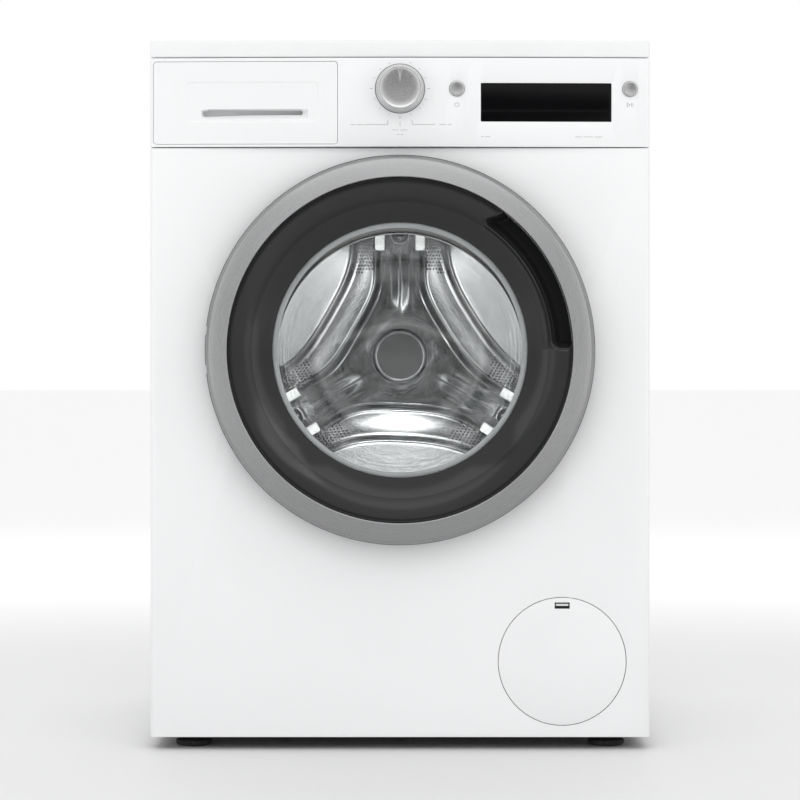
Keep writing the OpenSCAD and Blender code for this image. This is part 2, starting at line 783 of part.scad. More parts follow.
module damper_rod(side) {
    color("silver") along_damper(side) difference() {
        union() {
            translate([0, 0, damper_len]) rotate([90, 0, 0]) translate([0, 0, -8]) cylinder(h = 16, r = 11);
            translate([0, 0, 46]) cylinder(h = damper_len - 65, r = 11.5);
            translate([0, 0, damper_len - 20]) cylinder(h = 20, r = 8);
        }
        translate([0, 0, damper_len]) rotate([90, 0, 0]) translate([0, 0, -9]) {
            cylinder(h = 18, r = pin_r + fit);
        }
    }
}

module damper_tube_left() { damper_tube(-1); }
module damper_rod_left() { damper_rod(-1); }
module damper_tube_right() { damper_tube(1); }
module damper_rod_right() { damper_rod(1); }

// Outer shape of each coil spring with its end hooks
module suspension_springs() {
    run = spring_top - spring_low;
    tilt = atan2(run.x, run.z);
    color("dimgray") for (side = [0, 1]) mirror([side, 0, 0]) {
        translate(spring_low) rotate([0, tilt, 0]) {
            cylinder(h = norm(run), r = 12);
            translate([0, 0, -23]) cylinder(h = 24, r = 1.8);
            translate([0, 0, norm(run) - 1]) cylinder(h = 18, r = 1.8);
        }
    }
}

// ---- Door ----

// Room in the door for the fixed hinge lugs
module hinge_clearance(x1) {
    for (dz = [-lug_offset, lug_offset]) {
        box([hinge_x - 20, hinge_y - 5.5, door_z + dz - lug_t / 2 - 1],
            [x1, front_y, door_z + dz + lug_t / 2 + 1]);
    }
}

// Wedge of the door's face between the two ends of the handle recess, widened by margin degrees
module grip_wedge(margin, y0, y1) {
    reach = 2 * ring_r;
    angles = [grip_start - margin, (grip_start + grip_end) / 2, grip_end + margin];
    translate([0, 0, door_z]) plate_y(y0, y1) {
        polygon(concat([[0, 0]], [for (a = angles) reach * [cos(a), sin(a)]]));
    }
}

module door_ring() {
    round = 14;
    skin = 3;
    centre = [ring_r - round, door_front + round];
    outer = [for (a = [0:15:75]) centre + round * [cos(a), -sin(a)]];
    inner = [for (a = [75:-15:0]) centre + (round - skin) * [cos(a), -sin(a)]];
    color("silver") difference() {
        turned_y(0, door_z) polygon(concat([[ring_r, ring_back]], outer,
            [[bezel_r + 4, door_front], [bezel_r, door_front + 2], [bezel_r, door_front + 6],
            [bezel_r + 3, door_front + skin + 1]], inner, [[ring_r - skin, ring_back]]));
        intersection() {
            hinge_clearance(hinge_x + 6);
            box([-ring_r - 1, hinge_y - 2, door_z - 60], [0, front_y, door_z + 60]);
        }
    }
}

// Dark dished ring with the handle recess let into its edge
module door_bezel() {
    back = ring_back - 1;
    r = bezel_r - 0.5;
    grip_r = 178;
    slope_r = bezel_r - 18;
    color("dimgray") difference() {
        union() {
            turned_y(0, door_z) polygon([
                [glass_r, back - 1.2], [glass_r, door_front + 26], [glass_r + 3, door_front + 24],
                [slope_r, door_front + 5], [r, door_front + 3], [r, back], [r - 3, back],
                [r - 3, door_front + 7], [slope_r, door_front + 9],
                [glass_r + 5, door_front + 27], [glass_r + 3, back - 1.2]]);
            intersection() {
                turned_y(0, door_z) polygon([[grip_r - 4, back], [grip_r - 4, door_front + 14.5],
                    [slope_r, door_front + 7], [r - 1, door_front + 5], [r - 1, back]]);
                grip_wedge(2, door_front, back + 1);
            }
        }
        intersection() {
            tube_y(grip_r, r - 3.5, door_front - 1, back - 4, 0, door_z);
            grip_wedge(0, door_front - 2, back + 1);
        }
        hinge_clearance(hinge_x + 34);
        box([hinge_x, hinge_y - 6.5, door_z - lug_offset], [hinge_x + 20, front_y, door_z + lug_offset]);
        // Room for the latch block
        box([latch_x - 10, latch_y - 3, door_z - 17], [latch_x + 11, front_y, door_z + 17]);
    }
}

module door_glass() {
    back = ring_back - 1;
    wall = 5;
    color([0.8, 0.9, 0.95, 0.4]) turned_y(0, door_z) polygon([
        [0, -162], [60, -163], [96, -166], [108, -171], [114, -178], [134, -226], [141, back + 0.4],
        [glass_r + 2.5, back + 0.4], [glass_r + 2.5, back - 1], [glass_r - 0.5, back - 1],
        [glass_r - 0.5, back - wall], [136, back - wall], [129, -226], [109, -180], [104, -174],
        [94, -171], [60, -168], [0, -167]]);
}

module door_inner_frame() {
    y0 = ring_back - 0.9;
    r = bezel_r - 0.6;
    color("lightgray") difference() {
        union() {
            tube_y(glass_r + 2.6, r, y0, y0 + 3, 0, door_z);
            tube_y(141.5, glass_r + 5, y0 + 2.5, y0 + 5.5, 0, door_z);
            box([latch_x - 9, latch_y - 2.6, door_z - 16], [latch_x + 10, y0 + 3, door_z + 16]);
        }
        box([latch_x - 6, y0 - 4, door_z - 12], [latch_x + 9.5, y0 + 4, door_z + 12]);
        bar_y(141.4, y0 - 1, y0 + 6, 0, door_z);
        hinge_clearance(hinge_x + 38);
        box([hinge_x, hinge_y, door_z - lug_offset + 4.5],
            [hinge_x + 30, front_y, door_z + lug_offset - 4.5]);
    }
}

module door_hinge_arm() {
    half = lug_offset - lug_t / 2 - 1;
    plate_y1 = ring_back - 1;
    color("silver") difference() {
        union() {
            translate([hinge_x, hinge_y, door_z - half]) cylinder(h = 2 * half, r = 7.5);
            box([hinge_x, hinge_y - 6, door_z - half], [hinge_x + 29, hinge_y - 2, door_z + half]);
            box([hinge_x + 25, hinge_y - 6, door_z - half], [hinge_x + 29, plate_y1, door_z + half]);
            box([hinge_x + 25, plate_y1 - 2, door_z - half], [hinge_x + 46, plate_y1, door_z + half]);
        }
        translate([hinge_x, hinge_y, door_z - 40]) cylinder(h = 80, r = pin_r + fit);
    }
}

// Sprung hook on its pin; turning it catches the panel's edge
module door_latch_hook() {
    color("silver") {
        translate([latch_x, latch_y, door_z - 11]) cylinder(h = 22, r = 2.5);
        box([latch_x - 2.5, latch_y, door_z - 8], [latch_x + 2, front_y + 11, door_z + 8]);
        box([latch_x, front_y + 5, door_z - 8], [latch_x + 8.3, front_y + 11, door_z + 8]);
    }
}

// ---- Drawer ----

module drawer_tray() {
    x0 = drawer_x0 + 7;
    x1 = drawer_x1 - 7;
    z0 = 744;
    z1 = 804;
    wall = 2.5;
    y1 = tray_y0 + tray_len;
    split = [x0 + 70, x0 + 140];
    color("lightsteelblue") difference() {
        box([x0, tray_y0, z0], [x1, y1, z1]);
        box([x0 + wall, tray_y0 + wall, z0 + wall], [split[0], y1 - wall, z1 + 1]);
        box([split[0] + wall, tray_y0 + wall, z0 + wall], [split[1], y1 - wall, z1 + 1]);
        box([split[1] + wall, tray_y0 + wall, z0 + wall], [x1 - wall, y1 - wall, z1 + 1]);
    }
}

module drawer_front() {
    grip_x = [drawer_x0 + 57, drawer_x1 - 35];
    grip_z = [drawer_z0 + 27.7, drawer_z0 + 41.3];
    grip_back = tray_y0 - 3;
    room_z = drawer_z1 - 12;
    color("white") difference() {
        translate([0, 0, drawer_z0]) linear_extrude(drawer_z1 - drawer_z0) {
            bowed_plan(drawer_x0, drawer_x1, tray_y0);
        }
        box([grip_x[0], fascia_face - 1, grip_z[0]], [grip_x[1], grip_back, grip_z[1]]);
        // Finger room behind the bar over the slot
        box([grip_x[0], front_y + 2, grip_z[1] - 1], [grip_x[1], grip_back, room_z]);
    }
}

// ---- Knob and buttons ----

module program_knob() {
    y0 = fascia_face - 18.5;
    y1 = fascia_face - 0.6;
    color("silver") difference() {
        union() {
            turned_y(0, control_z) polygon([[0, y0 + 1], [knob_r - 5, y0 + 1], [knob_r - 4, y0],
                [knob_r - 2.5, y0], [knob_r - 1, y0 + 1.5], [knob_r, y1], [0, y1]]);
            bar_y(4, y1 - 1, front_y + 20, 0, control_z);
        }
        box([-1.2, y0 - 1, control_z + knob_r - 14], [1.2, y0 + 2, control_z + knob_r - 5]);
    }
}

module push_button(x) {
    face = front_y - fascia_bow * (1 - x * x / (half_w * half_w));
    y0 = face - 3;
    stem_y = front_y + 9;
    color("silver") turned_y(x, control_z) polygon([[0, y0], [button_r - 1.2, y0],
        [button_r, y0 + 1.2], [button_r, face + 5], [4, face + 5], [4, stem_y], [0, stem_y]]);
}

module power_button() { push_button(power_x); }
module start_button() { push_button(start_x); }

// ---- Service flap and filter ----

module service_flap() {
    color("white") difference() {
        union() {
            bar_y(flap_r, front_y, front_y + 3, flap_x, flap_z);
            tube_y(flap_r - 6, flap_r - 4, front_y + 2, front_y + 6, flap_x, flap_z);
        }
        // Catch opening at the top
        box([flap_x - 9, front_y - 1, flap_z + 63], [flap_x + 9, front_y + 7, flap_z + 70.5]);
        box([flap_x - 80, front_y + 2.9, 0], [flap_x + 80, front_y + 7, flap_hinge_z + 3]);
    }
}

module pump_filter() {
    y0 = front_y + 9;
    rim_y = front_y + 24.4;
    grip = [30, 5];
    color("steelblue") {
        tube_y(bore_r - 3, cap_r, rim_y - 8, rim_y, flap_x, flap_z);
        bar_y(bore_r - 2, rim_y - 6, rim_y - 3, flap_x, flap_z);
        box([flap_x - grip[0], y0, flap_z - grip[1]], [flap_x + grip[0], rim_y - 5, flap_z + grip[1]]);
        tube_y(bore_r - 3, bore_r - 0.6, rim_y - 1, rim_y + 72, flap_x, flap_z);
    }
}

// ---- Levelling feet ----

module foot(x, y) {
    color("black") translate([x, y, 0]) {
        rotate_extrude() polygon([[0, 0], [foot_r - 2, 0], [foot_r, 2], [foot_r, 6], [12, 10], [0, 10]]);
        translate([0, 0, 9]) cylinder(h = 36, r = stem_r);
    }
}

module foot_front_left() { foot(-foot_x, foot_front_y); }
module foot_front_right() { foot(foot_x, foot_front_y); }
module foot_rear_left() { foot(-foot_x, foot_rear_y); }
module foot_rear_right() { foot(foot_x, foot_rear_y); }

side_panel_left();
side_panel_right();
rear_panel();
rear_access_cover();
front_panel();
base_tray();
top_cover();
control_fascia();
display_window();
control_board();
dispenser_housing();
inlet_valve();
inlet_hose();
dispenser_hose();
door_gasket();
door_lock();
hinge_plate();
drain_pump();
sump_hose();
drain_hose();
pressure_switch();
cable_gland();
transit_caps();
panel_screws();
tub_rear();
tub_front();
front_counterweight();
top_counterweight();
drum_bearings();
heating_element();
motor_housing();
drive_belt();
drum_shell();
drum_back();
drum_paddles();
drum_spider();
drum_pulley();
motor_pulley();
damper_tube_left();
damper_rod_left();
damper_tube_right();
damper_rod_right();
suspension_springs();
door_ring();
door_bezel();
door_glass();
door_inner_frame();
door_hinge_arm();
door_latch_hook();
drawer_tray();
drawer_front();
program_knob();
power_button();
start_button();
service_flap();
pump_filter();
foot_front_left();
foot_front_right();
foot_rear_left();
foot_rear_right();
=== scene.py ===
import bpy
import bmesh
import json
import math
import random
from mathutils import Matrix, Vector

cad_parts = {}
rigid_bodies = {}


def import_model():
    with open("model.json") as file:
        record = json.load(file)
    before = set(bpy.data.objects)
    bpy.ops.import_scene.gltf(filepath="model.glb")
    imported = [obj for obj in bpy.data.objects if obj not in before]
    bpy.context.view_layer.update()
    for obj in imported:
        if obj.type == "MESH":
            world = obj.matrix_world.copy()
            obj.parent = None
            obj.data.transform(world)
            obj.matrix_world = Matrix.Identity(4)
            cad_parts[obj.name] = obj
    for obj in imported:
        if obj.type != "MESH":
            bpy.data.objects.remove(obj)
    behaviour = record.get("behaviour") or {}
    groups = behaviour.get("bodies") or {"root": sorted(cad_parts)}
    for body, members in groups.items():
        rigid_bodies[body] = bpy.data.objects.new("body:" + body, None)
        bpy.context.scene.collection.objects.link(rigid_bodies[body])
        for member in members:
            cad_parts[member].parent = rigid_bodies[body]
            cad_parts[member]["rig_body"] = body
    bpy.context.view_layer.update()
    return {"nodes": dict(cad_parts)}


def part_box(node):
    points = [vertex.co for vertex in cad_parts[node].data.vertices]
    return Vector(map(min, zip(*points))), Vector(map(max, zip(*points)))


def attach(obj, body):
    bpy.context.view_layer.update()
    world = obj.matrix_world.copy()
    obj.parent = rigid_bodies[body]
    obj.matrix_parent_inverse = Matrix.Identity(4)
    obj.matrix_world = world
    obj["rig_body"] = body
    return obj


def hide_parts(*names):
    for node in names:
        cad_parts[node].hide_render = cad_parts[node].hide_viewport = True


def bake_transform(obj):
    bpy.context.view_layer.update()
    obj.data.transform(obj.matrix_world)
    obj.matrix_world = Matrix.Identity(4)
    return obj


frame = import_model()
NODES = frame["nodes"]
MM = 0.001
TAU = 2 * math.pi


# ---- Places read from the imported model, in millimetres ----

def box_mm(node):
    """Lowest and highest corner of a CAD node, in millimetres."""
    low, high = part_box(node)
    return low / MM, high / MM


def centre_mm(node):
    low, high = box_mm(node)
    return (low + high) / 2


ring_low, ring_high = box_mm("door_ring")
DOOR_Z = (ring_low.z + ring_high.z) / 2
RING_R = (ring_high.x - ring_low.x) / 2
DOOR_FRONT = ring_low.y
panel_low, panel_high = box_mm("front_panel")
FRONT_Y = panel_low.y
HALF_W = panel_high.x
SEAM_Z = panel_high.z
back_low, back_high = box_mm("drum_back")
AXIS_Z = (back_low.z + back_high.z) / 2
DRUM_R = (back_high.x - back_low.x) / 2
BACK_Y = back_high.y - 2
MOUTH_Y = box_mm("drum_shell")[0].y
BEZEL_R = box_mm("door_bezel")[1].x
GLASS_R = box_mm("door_glass")[1].x - 2.5
fascia_low, fascia_high = box_mm("control_fascia")
REAR_Y = box_mm("rear_panel")[1].y


# ---- Mesh helpers; all coordinates go in as millimetres ----

def smoothstep(a, b, x):
    t = min(max((x - a) / (b - a), 0.0), 1.0)
    return t * t * (3 - 2 * t)


def mix(a, b, t):
    return a + (b - a) * t


def new_object(name, data):
    obj = bpy.data.objects.new(name, data)
    bpy.context.scene.collection.objects.link(obj)
    return obj


def mesh_object(name, verts, faces, smooth=40):
    """Object from vertices in millimetres, with outward normals, smooth up to an angle in degrees."""
    mesh = bpy.data.meshes.new(name)
    mesh.from_pydata([(x * MM, y * MM, z * MM) for x, y, z in verts], [], faces)
    bm = bmesh.new()
    bm.from_mesh(mesh)
    bmesh.ops.remove_doubles(bm, verts=bm.verts, dist=1e-6)
    bmesh.ops.recalc_face_normals(bm, faces=bm.faces)
    mark_smooth(bm, smooth)
    bm.to_mesh(mesh)
    bm.free()
    return new_object(name, mesh)


def skin(name, rings, smooth=40, around=False, ends=False, closed=True):
    """Surface over rings with the same number of points.

    around joins the last ring to the first, ends fills the first and the last ring, and closed joins
    each ring's last point to its first.
    """
    count, total = len(rings[0]), len(rings)
    verts = [point for ring in rings for point in ring]
    faces = []
    if ends:
        faces = [tuple(range(count)), tuple(range(len(verts) - 1, len(verts) - count - 1, -1))]
    for i in range(total if around else total - 1):
        a, b = i * count, (i + 1) % total * count
        for k in range(count if closed else count - 1):
            n = (k + 1) % count
            faces.append((a + k, a + n, b + n, b + k))
    return mesh_object(name, verts, faces, smooth)


def mark_smooth(bm, angle):
    limit = math.radians(angle)
    for face in bm.faces:
        face.smooth = True
    for edge in bm.edges:
        edge.smooth = len(edge.link_faces) != 2 or edge.calc_face_angle(0.0) < limit


def bake_modifiers(obj):
    """Puts the object's modifiers into its mesh."""
    bpy.context.view_layer.update()
    graph = bpy.context.evaluated_depsgraph_get()
    mesh = bpy.data.meshes.new_from_object(obj.evaluated_get(graph))
    obj.modifiers.clear()
    obj.data = mesh
    return obj


def resmooth(obj, angle=35):
    bm = bmesh.new()
    bm.from_mesh(obj.data)
    mark_smooth(bm, angle)
    bm.to_mesh(obj.data)
    bm.free()
    return obj


def rounded(obj, width, segments=3, angle=35):
    """Rounds the object's edges and keeps its flats flat."""
    mod = obj.modifiers.new("edges", "BEVEL")
    mod.width = width * MM
    mod.segments = segments
    mod.limit_method = "ANGLE"
    mod.angle_limit = math.radians(angle)
    bake_modifiers(obj)
    return resmooth(obj, 50)


def boolean(obj, others, operation="DIFFERENCE", together=False):
    """Cuts with the other objects and removes them. Cutters that don't cross each other can go together."""
    if together:
        others = [join("cutters", others)]
    for other in others:
        mod = obj.modifiers.new("cut", "BOOLEAN")
        mod.operation = operation
        mod.solver = "EXACT"
        mod.object = other
    bake_modifiers(obj)
    for other in others:
        bpy.data.objects.remove(other)
    return resmooth(obj)


def join(name, objs):
    """One mesh object from several."""
    bm = bmesh.new()
    for obj in objs:
        bm.from_mesh(obj.data)
    mesh = bpy.data.meshes.new(name)
    bm.to_mesh(mesh)
    bm.free()
    for obj in objs:
        bpy.data.objects.remove(obj)
    return new_object(name, mesh)


def prism(name, outline, axis, low, high):
    """Closed outline pushed along an axis. The outline holds the other two coordinates in order."""
    def at(p, d):
        return {"X": (d, p[0], p[1]), "Y": (p[0], d, p[1]), "Z": (p[0], p[1], d)}[axis]
    return skin(name, [[at(p, d) for p in outline] for d in (low, high)], ends=True)


def block(name, low, high):
    outline = [(low[0], low[2]), (high[0], low[2]), (high[0], high[2]), (low[0], high[2])]
    return prism(name, outline, "Y", low[1], high[1])


def disc(r, x=0.0, z=0.0, steps=96):
    return [(x + r * math.cos(TAU * i / steps), z + r * math.sin(TAU * i / steps)) for i in range(steps)]


def hole(r, x, z, y0, y1, steps=32):
    """Cutter for a round hole through a wall that faces front or back."""
    return prism("cut", disc(r, x, z, steps), "Y", y0, y1)


def round_rect(x0, z0, x1, z1, r, steps=8):
    points = []
    corners = ((x1 - r, z1 - r, 0), (x0 + r, z1 - r, 90), (x0 + r, z0 + r, 180), (x1 - r, z0 + r, 270))
    for cx, cz, a in corners:
        for i in range(steps + 1):
            turn = math.radians(a + 90 * i / steps)
            points.append((cx + r * math.cos(turn), cz + r * math.sin(turn)))
    return points


def turned(name, profile, x=0.0, z=0.0, steps=160, axis="Y", smooth=40):
    """Solid of revolution from a closed profile of (radius, distance along the axis)."""
    rings = []
    for i in range(steps):
        c, s = math.cos(TAU * i / steps), math.sin(TAU * i / steps)
        ring = [(x + r * c, d, z + r * s) for r, d in profile]
        rings.append(ring if axis == "Y" else [(across, up, d) for across, d, up in ring])
    return skin(name, rings, smooth, around=True)


def smooth_profile(points, rounds=2):
    """Closed profile with its corners cut smooth, twice as many points each round."""
    for turn in range(rounds):
        points = [tuple(mix(points[i][k], points[(i + 1) % len(points)][k], t) for k in (0, 1))
                  for i in range(len(points)) for t in (0.25, 0.75)]
    return points


def refined(name, node, width=0.5, segments=2, angle=35):
    """Copy of a CAD node with welded faces and rounded edges."""
    mesh = NODES[node].data.copy()
    mesh.materials.clear()
    bm = bmesh.new()
    bm.from_mesh(mesh)
    bmesh.ops.remove_doubles(bm, verts=bm.verts, dist=1e-5)
    bmesh.ops.dissolve_limit(bm, angle_limit=math.radians(0.5), verts=bm.verts, edges=bm.edges)
    mark_smooth(bm, angle)
    bm.to_mesh(mesh)
    bm.free()
    return rounded(new_object(name, mesh), width, segments, angle)


def painted(obj, look, nodes):
    """Gives a piece its finish, and hides the CAD nodes that it stands for."""
    obj.data.materials.clear()
    obj.data.materials.append(LOOKS[look])
    SLOT_OF.get(look, look)
    if nodes:
        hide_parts(*nodes)


def piece(obj, body, look, *nodes):
    """A piece that moves with one body."""
    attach(obj, body)
    painted(obj, look, nodes)
    return obj


def bends(obj, look, start, end, *nodes):
    """A piece between the cabinet and the tub, with its place baked into its mesh and its finish given."""
    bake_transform(obj)
    painted(obj, look, nodes)


# ---- Materials ----

LOOKS = {}


class Graph:
    """Short way to make and wire shader nodes."""

    def __init__(self, name):
        self.mat = bpy.data.materials.new(name)
        self.mat.use_nodes = True
        self.tree = self.mat.node_tree
        self.shader = self.tree.nodes["Principled BSDF"]
        self.output = self.tree.nodes["Material Output"]

    def add(self, kind, inputs=None, **settings):
        node = self.tree.nodes.new("ShaderNode" + kind)
        for key, value in settings.items():
            setattr(node, key, value)
        for key, value in (inputs or {}).items():
            if isinstance(value, bpy.types.NodeSocket):
                self.tree.links.new(value, node.inputs[key])
            else:
                node.inputs[key].default_value = value
        return node

    def link(self, socket, target):
        self.tree.links.new(socket, target)

    def math(self, operation, a, b=0.0):
        return self.add("Math", {0: a, 1: b}, operation=operation).outputs[0]

    def coordinates(self, centre=(0.0, 0.0, 0.0), scale=(1.0, 1.0, 1.0)):
        source = self.add("TexCoord").outputs["Object"]
        shift = [-c * s for c, s in zip(centre, scale)]
        moved = self.add("Mapping", {"Vector": source, "Location": shift, "Scale": scale})
        return moved.outputs["Vector"]

    def noise(self, vector, scale, detail=3.0, rough=0.5):
        return self.add("TexNoise", {"Vector": vector, "Scale": scale, "Detail": detail,
                                     "Roughness": rough}).outputs["Fac"]

    def spread(self, value, low, high):
        """Maps the middle of a noise to a range."""
        return self.add("MapRange", {"Value": value, "From Min": 0.3, "From Max": 0.7,
                                     "To Min": low, "To Max": high}).outputs["Result"]

    def tint(self, value, colour, vary):
        """Colour that gets a little darker and lighter with a noise."""
        dark = [max(c * (1 - vary), 0) for c in colour] + [1]
        light = [min(c * (1 + vary), 1) for c in colour] + [1]
        near = self.add("MapRange", {"Value": value, "From Min": 0.3, "From Max": 0.7})
        both = self.add("Mix", {"Factor": near.outputs["Result"]}, data_type="RGBA")
        both.inputs[6].default_value = dark
        both.inputs[7].default_value = light
        return both.outputs[2]

    def bump(self, height, strength, distance):
        node = self.add("Bump", {"Height": height, "Strength": strength, "Distance": distance})
        self.link(node.outputs["Normal"], self.shader.inputs["Normal"])

    def radius(self, parts):
        """Distance from the Y axis."""
        squares = [self.math("MULTIPLY", part, part) for part in (parts[0], parts[2])]
        return self.math("SQRT", self.math("ADD", *squares))


def surface(name, colour, rough, metal=0.0, vary=0.04, blotch=8.0, grain=900.0, depth=0.00004,
            strength=0.25, rough_vary=0.05, stretch=(1.0, 1.0, 1.0), **sockets):
    """General finish: slow changes of shade and gloss, and a fine grain in the surface."""
    g = Graph(name)
    where = g.coordinates(scale=stretch)
    slow = g.noise(where, blotch, 4.0)
    fine = g.noise(where, grain, 2.0)
    g.link(g.tint(slow, colour, vary), g.shader.inputs["Base Color"])
    both = g.math("ADD", g.math("MULTIPLY", slow, 0.6), g.math("MULTIPLY", fine, 0.4))
    g.link(g.spread(both, max(rough - rough_vary, 0.02), min(rough + rough_vary, 1)),
           g.shader.inputs["Roughness"])
    g.bump(fine, strength, depth)
    g.shader.inputs["Metallic"].default_value = metal
    for key, value in sockets.items():
        g.shader.inputs[key.replace("_", " ")].default_value = value
    LOOKS[name] = g.mat
    return g


def brushed_round(name, colour, rough, centre, rings=2600.0, vary=0.05, strength=0.22):
    """Metal turned or brushed round an axis along Y."""
    g = Graph(name)
    where = g.coordinates(centre)
    parts = g.add("SeparateXYZ", {"Vector": where}).outputs
    turn = g.math("ARCTAN2", parts[2], parts[0])
    lines = g.add("CombineXYZ", {
        "X": g.math("MULTIPLY", g.radius(parts), rings), "Y": g.math("MULTIPLY", turn, 5.0),
        "Z": g.math("MULTIPLY", parts[1], rings)}).outputs[0]
    hair = g.noise(lines, 1.0, 3.0, 0.7)
    slow = g.noise(where, 11.0, 3.0)
    both = g.math("ADD", g.math("MULTIPLY", hair, 0.6), g.math("MULTIPLY", slow, 0.4))
    g.link(g.tint(both, colour, vary), g.shader.inputs["Base Color"])
    g.link(g.spread(hair, rough - 0.06, rough + 0.07), g.shader.inputs["Roughness"])
    g.bump(hair, strength, 0.00003)
    g.shader.inputs["Metallic"].default_value = 1.0
    LOOKS[name] = g.mat


def porthole_glass(name, tint, reflect):
    """Clear glass that lets light straight in: clear face on, and mirror-like at a glancing angle."""
    g = Graph(name)
    where = g.coordinates()
    smear = g.noise(where, 14.0, 5.0, 0.6)
    clear = g.add("BsdfTransparent")
    g.link(g.tint(smear, tint, 0.015), clear.inputs["Color"])
    ripple = g.add("Bump", {"Height": g.noise(where, 9.0, 1.0), "Strength": 0.12, "Distance": 0.0006})
    shine = g.add("BsdfGlossy", {"Color": (1, 1, 1, 1), "Normal": ripple.outputs["Normal"]})
    g.link(g.spread(smear, 0.015, 0.06), shine.inputs["Roughness"])
    fresnel = g.add("Fresnel", {"IOR": 1.5, "Normal": ripple.outputs["Normal"]}).outputs["Fac"]
    mixed = g.add("MixShader", {0: g.math("MINIMUM", fresnel, reflect), 1: clear.outputs[0],
                                2: shine.outputs[0]})
    g.tree.nodes.remove(g.shader)
    g.link(mixed.outputs[0], g.output.inputs["Surface"])
    LOOKS[name] = g.mat


MICRON = 1e-6
# Name, colour, roughness, metal, change of shade, size of its blotches, grain and its depth in microns
# and strength, and settings that differ from the usual ones
for name, colour, rough, metal, vary, blotch, grain, depth, strength, more in (
        ("enamel", (0.86, 0.865, 0.87), 0.32, 0, 0.008, 3, 420, 60, 0.08,
         {"rough_vary": 0.04, "Coat_Weight": 0.25, "Coat_Roughness": 0.12}),
        ("fascia_plastic", (0.85, 0.86, 0.865), 0.36, 0, 0.008, 5, 1500, 30, 0.12, {}),
        ("worktop", (0.83, 0.835, 0.84), 0.42, 0, 0.015, 9, 700, 80, 0.25, {}),
        ("galvanised", (0.56, 0.57, 0.58), 0.38, 1, 0.07, 60, 260, 40, 0.15, {"rough_vary": 0.1}),
        ("display_glass", (0.003, 0.003, 0.0035), 0.08, 0, 0.2, 12, 900, 10, 0.03,
         {"rough_vary": 0.03, "Specular_IOR_Level": 0.16}),
        ("light_plastic", (0.72, 0.73, 0.72), 0.45, 0, 0.03, 20, 1200, 60, 0.2, {}),
        ("tub_plastic", (0.62, 0.62, 0.58), 0.55, 0, 0.06, 16, 650, 100, 0.3, {}),
        ("grey_rubber", (0.23, 0.235, 0.24), 0.6, 0, 0.08, 30, 800, 100, 0.3, {}),
        ("black_rubber", (0.025, 0.025, 0.026), 0.62, 0, 0.25, 45, 700, 100, 0.35, {}),
        ("seal_grey", (0.46, 0.47, 0.475), 0.4, 0, 0.05, 26, 900, 50, 0.2, {}),
        ("concrete", (0.34, 0.335, 0.32), 0.88, 0, 0.22, 28, 210, 600, 0.6, {"rough_vary": 0.08}),
        ("cast_alloy", (0.5, 0.505, 0.51), 0.5, 1, 0.1, 50, 320, 200, 0.4, {"rough_vary": 0.09}),
        ("machine_steel", (0.6, 0.6, 0.61), 0.28, 1, 0.08, 60, 900, 50, 0.2, {"rough_vary": 0.08}),
        ("motor_black", (0.05, 0.052, 0.055), 0.42, 0.6, 0.2, 35, 420, 100, 0.3, {}),
        ("dark_plastic", (0.06, 0.062, 0.065), 0.48, 0, 0.15, 30, 1100, 70, 0.25, {}),
        ("board_green", (0.02, 0.11, 0.05), 0.35, 0, 0.25, 120, 900, 80, 0.3, {}),
        ("tray_plastic", (0.7, 0.72, 0.74), 0.34, 0, 0.02, 18, 1400, 40, 0.15, {}),
        ("filter_blue", (0.16, 0.27, 0.42), 0.42, 0, 0.08, 40, 1200, 60, 0.25, {}),
        ("mark_grey", (0.22, 0.225, 0.23), 0.5, 0, 0.1, 60, 1500, 40, 0.25, {}),
        # Near-black painted shade for holes and pockets, shown as dark plastic
        ("recess_dark", (0.02, 0.02, 0.021), 0.55, 0, 0.2, 40, 900, 40, 0.25, {}),
        ("stainless_flat", (0.66, 0.665, 0.67), 0.22, 1, 0.04, 12, 380, 30, 0.2,
         {"rough_vary": 0.06, "stretch": (1.0, 0.06, 1.0)})):
    surface(name, colour, rough, metal, vary, blotch, grain, depth * MICRON, strength, **more)
bezel_graph = surface("bezel_plastic", (0.014, 0.0142, 0.0147), 0.14, vary=0.12, blotch=6.0, grain=1300.0,
                      depth=20 * MICRON, strength=0.05, rough_vary=0.04)
brushed_round("silver_trim", (0.312, 0.314, 0.317), 0.29, (0, 0, DOOR_Z * MM), 1500.0, 0.03, 0.1)
brushed_round("stainless", (0.70, 0.705, 0.71), 0.17, (0, 0, AXIS_Z * MM), 900.0, 0.04, 0.16)
porthole_glass("porthole_glass", (0.975, 0.982, 0.982), 0.22)

# Looks that share another slot of the record; the rest have the slot of their own name
SLOT_OF = {
    "seal_grey": "light_plastic", "mark_grey": "dark_plastic", "recess_dark": "dark_plastic",
    "stainless_flat": "stainless", "knob_metal": "silver_trim", "power_button_metal": "silver_trim",
    "start_button_metal": "silver_trim",
}


def dull_recess(g):
    """The handle recess, which is deeper than the dish round it, has a dull finish."""
    parts = g.add("SeparateXYZ", {"Vector": g.coordinates((0, 0, DOOR_Z * MM))}).outputs
    deep = g.add("MapRange", {"Value": parts[1], "From Min": (DOOR_FRONT + 8) * MM,
                              "From Max": (DOOR_FRONT + 17) * MM})
    outside = g.math("GREATER_THAN", g.radius(parts), 0.176)
    level = g.math("MULTIPLY", deep.outputs["Result"], outside)
    g.link(g.add("MapRange", {"Value": level, "To Min": 0.36, "To Max": 0.05}).outputs["Result"],
           g.shader.inputs["Specular IOR Level"])


dull_recess(bezel_graph)


# ---- Camera, lights and floor ----

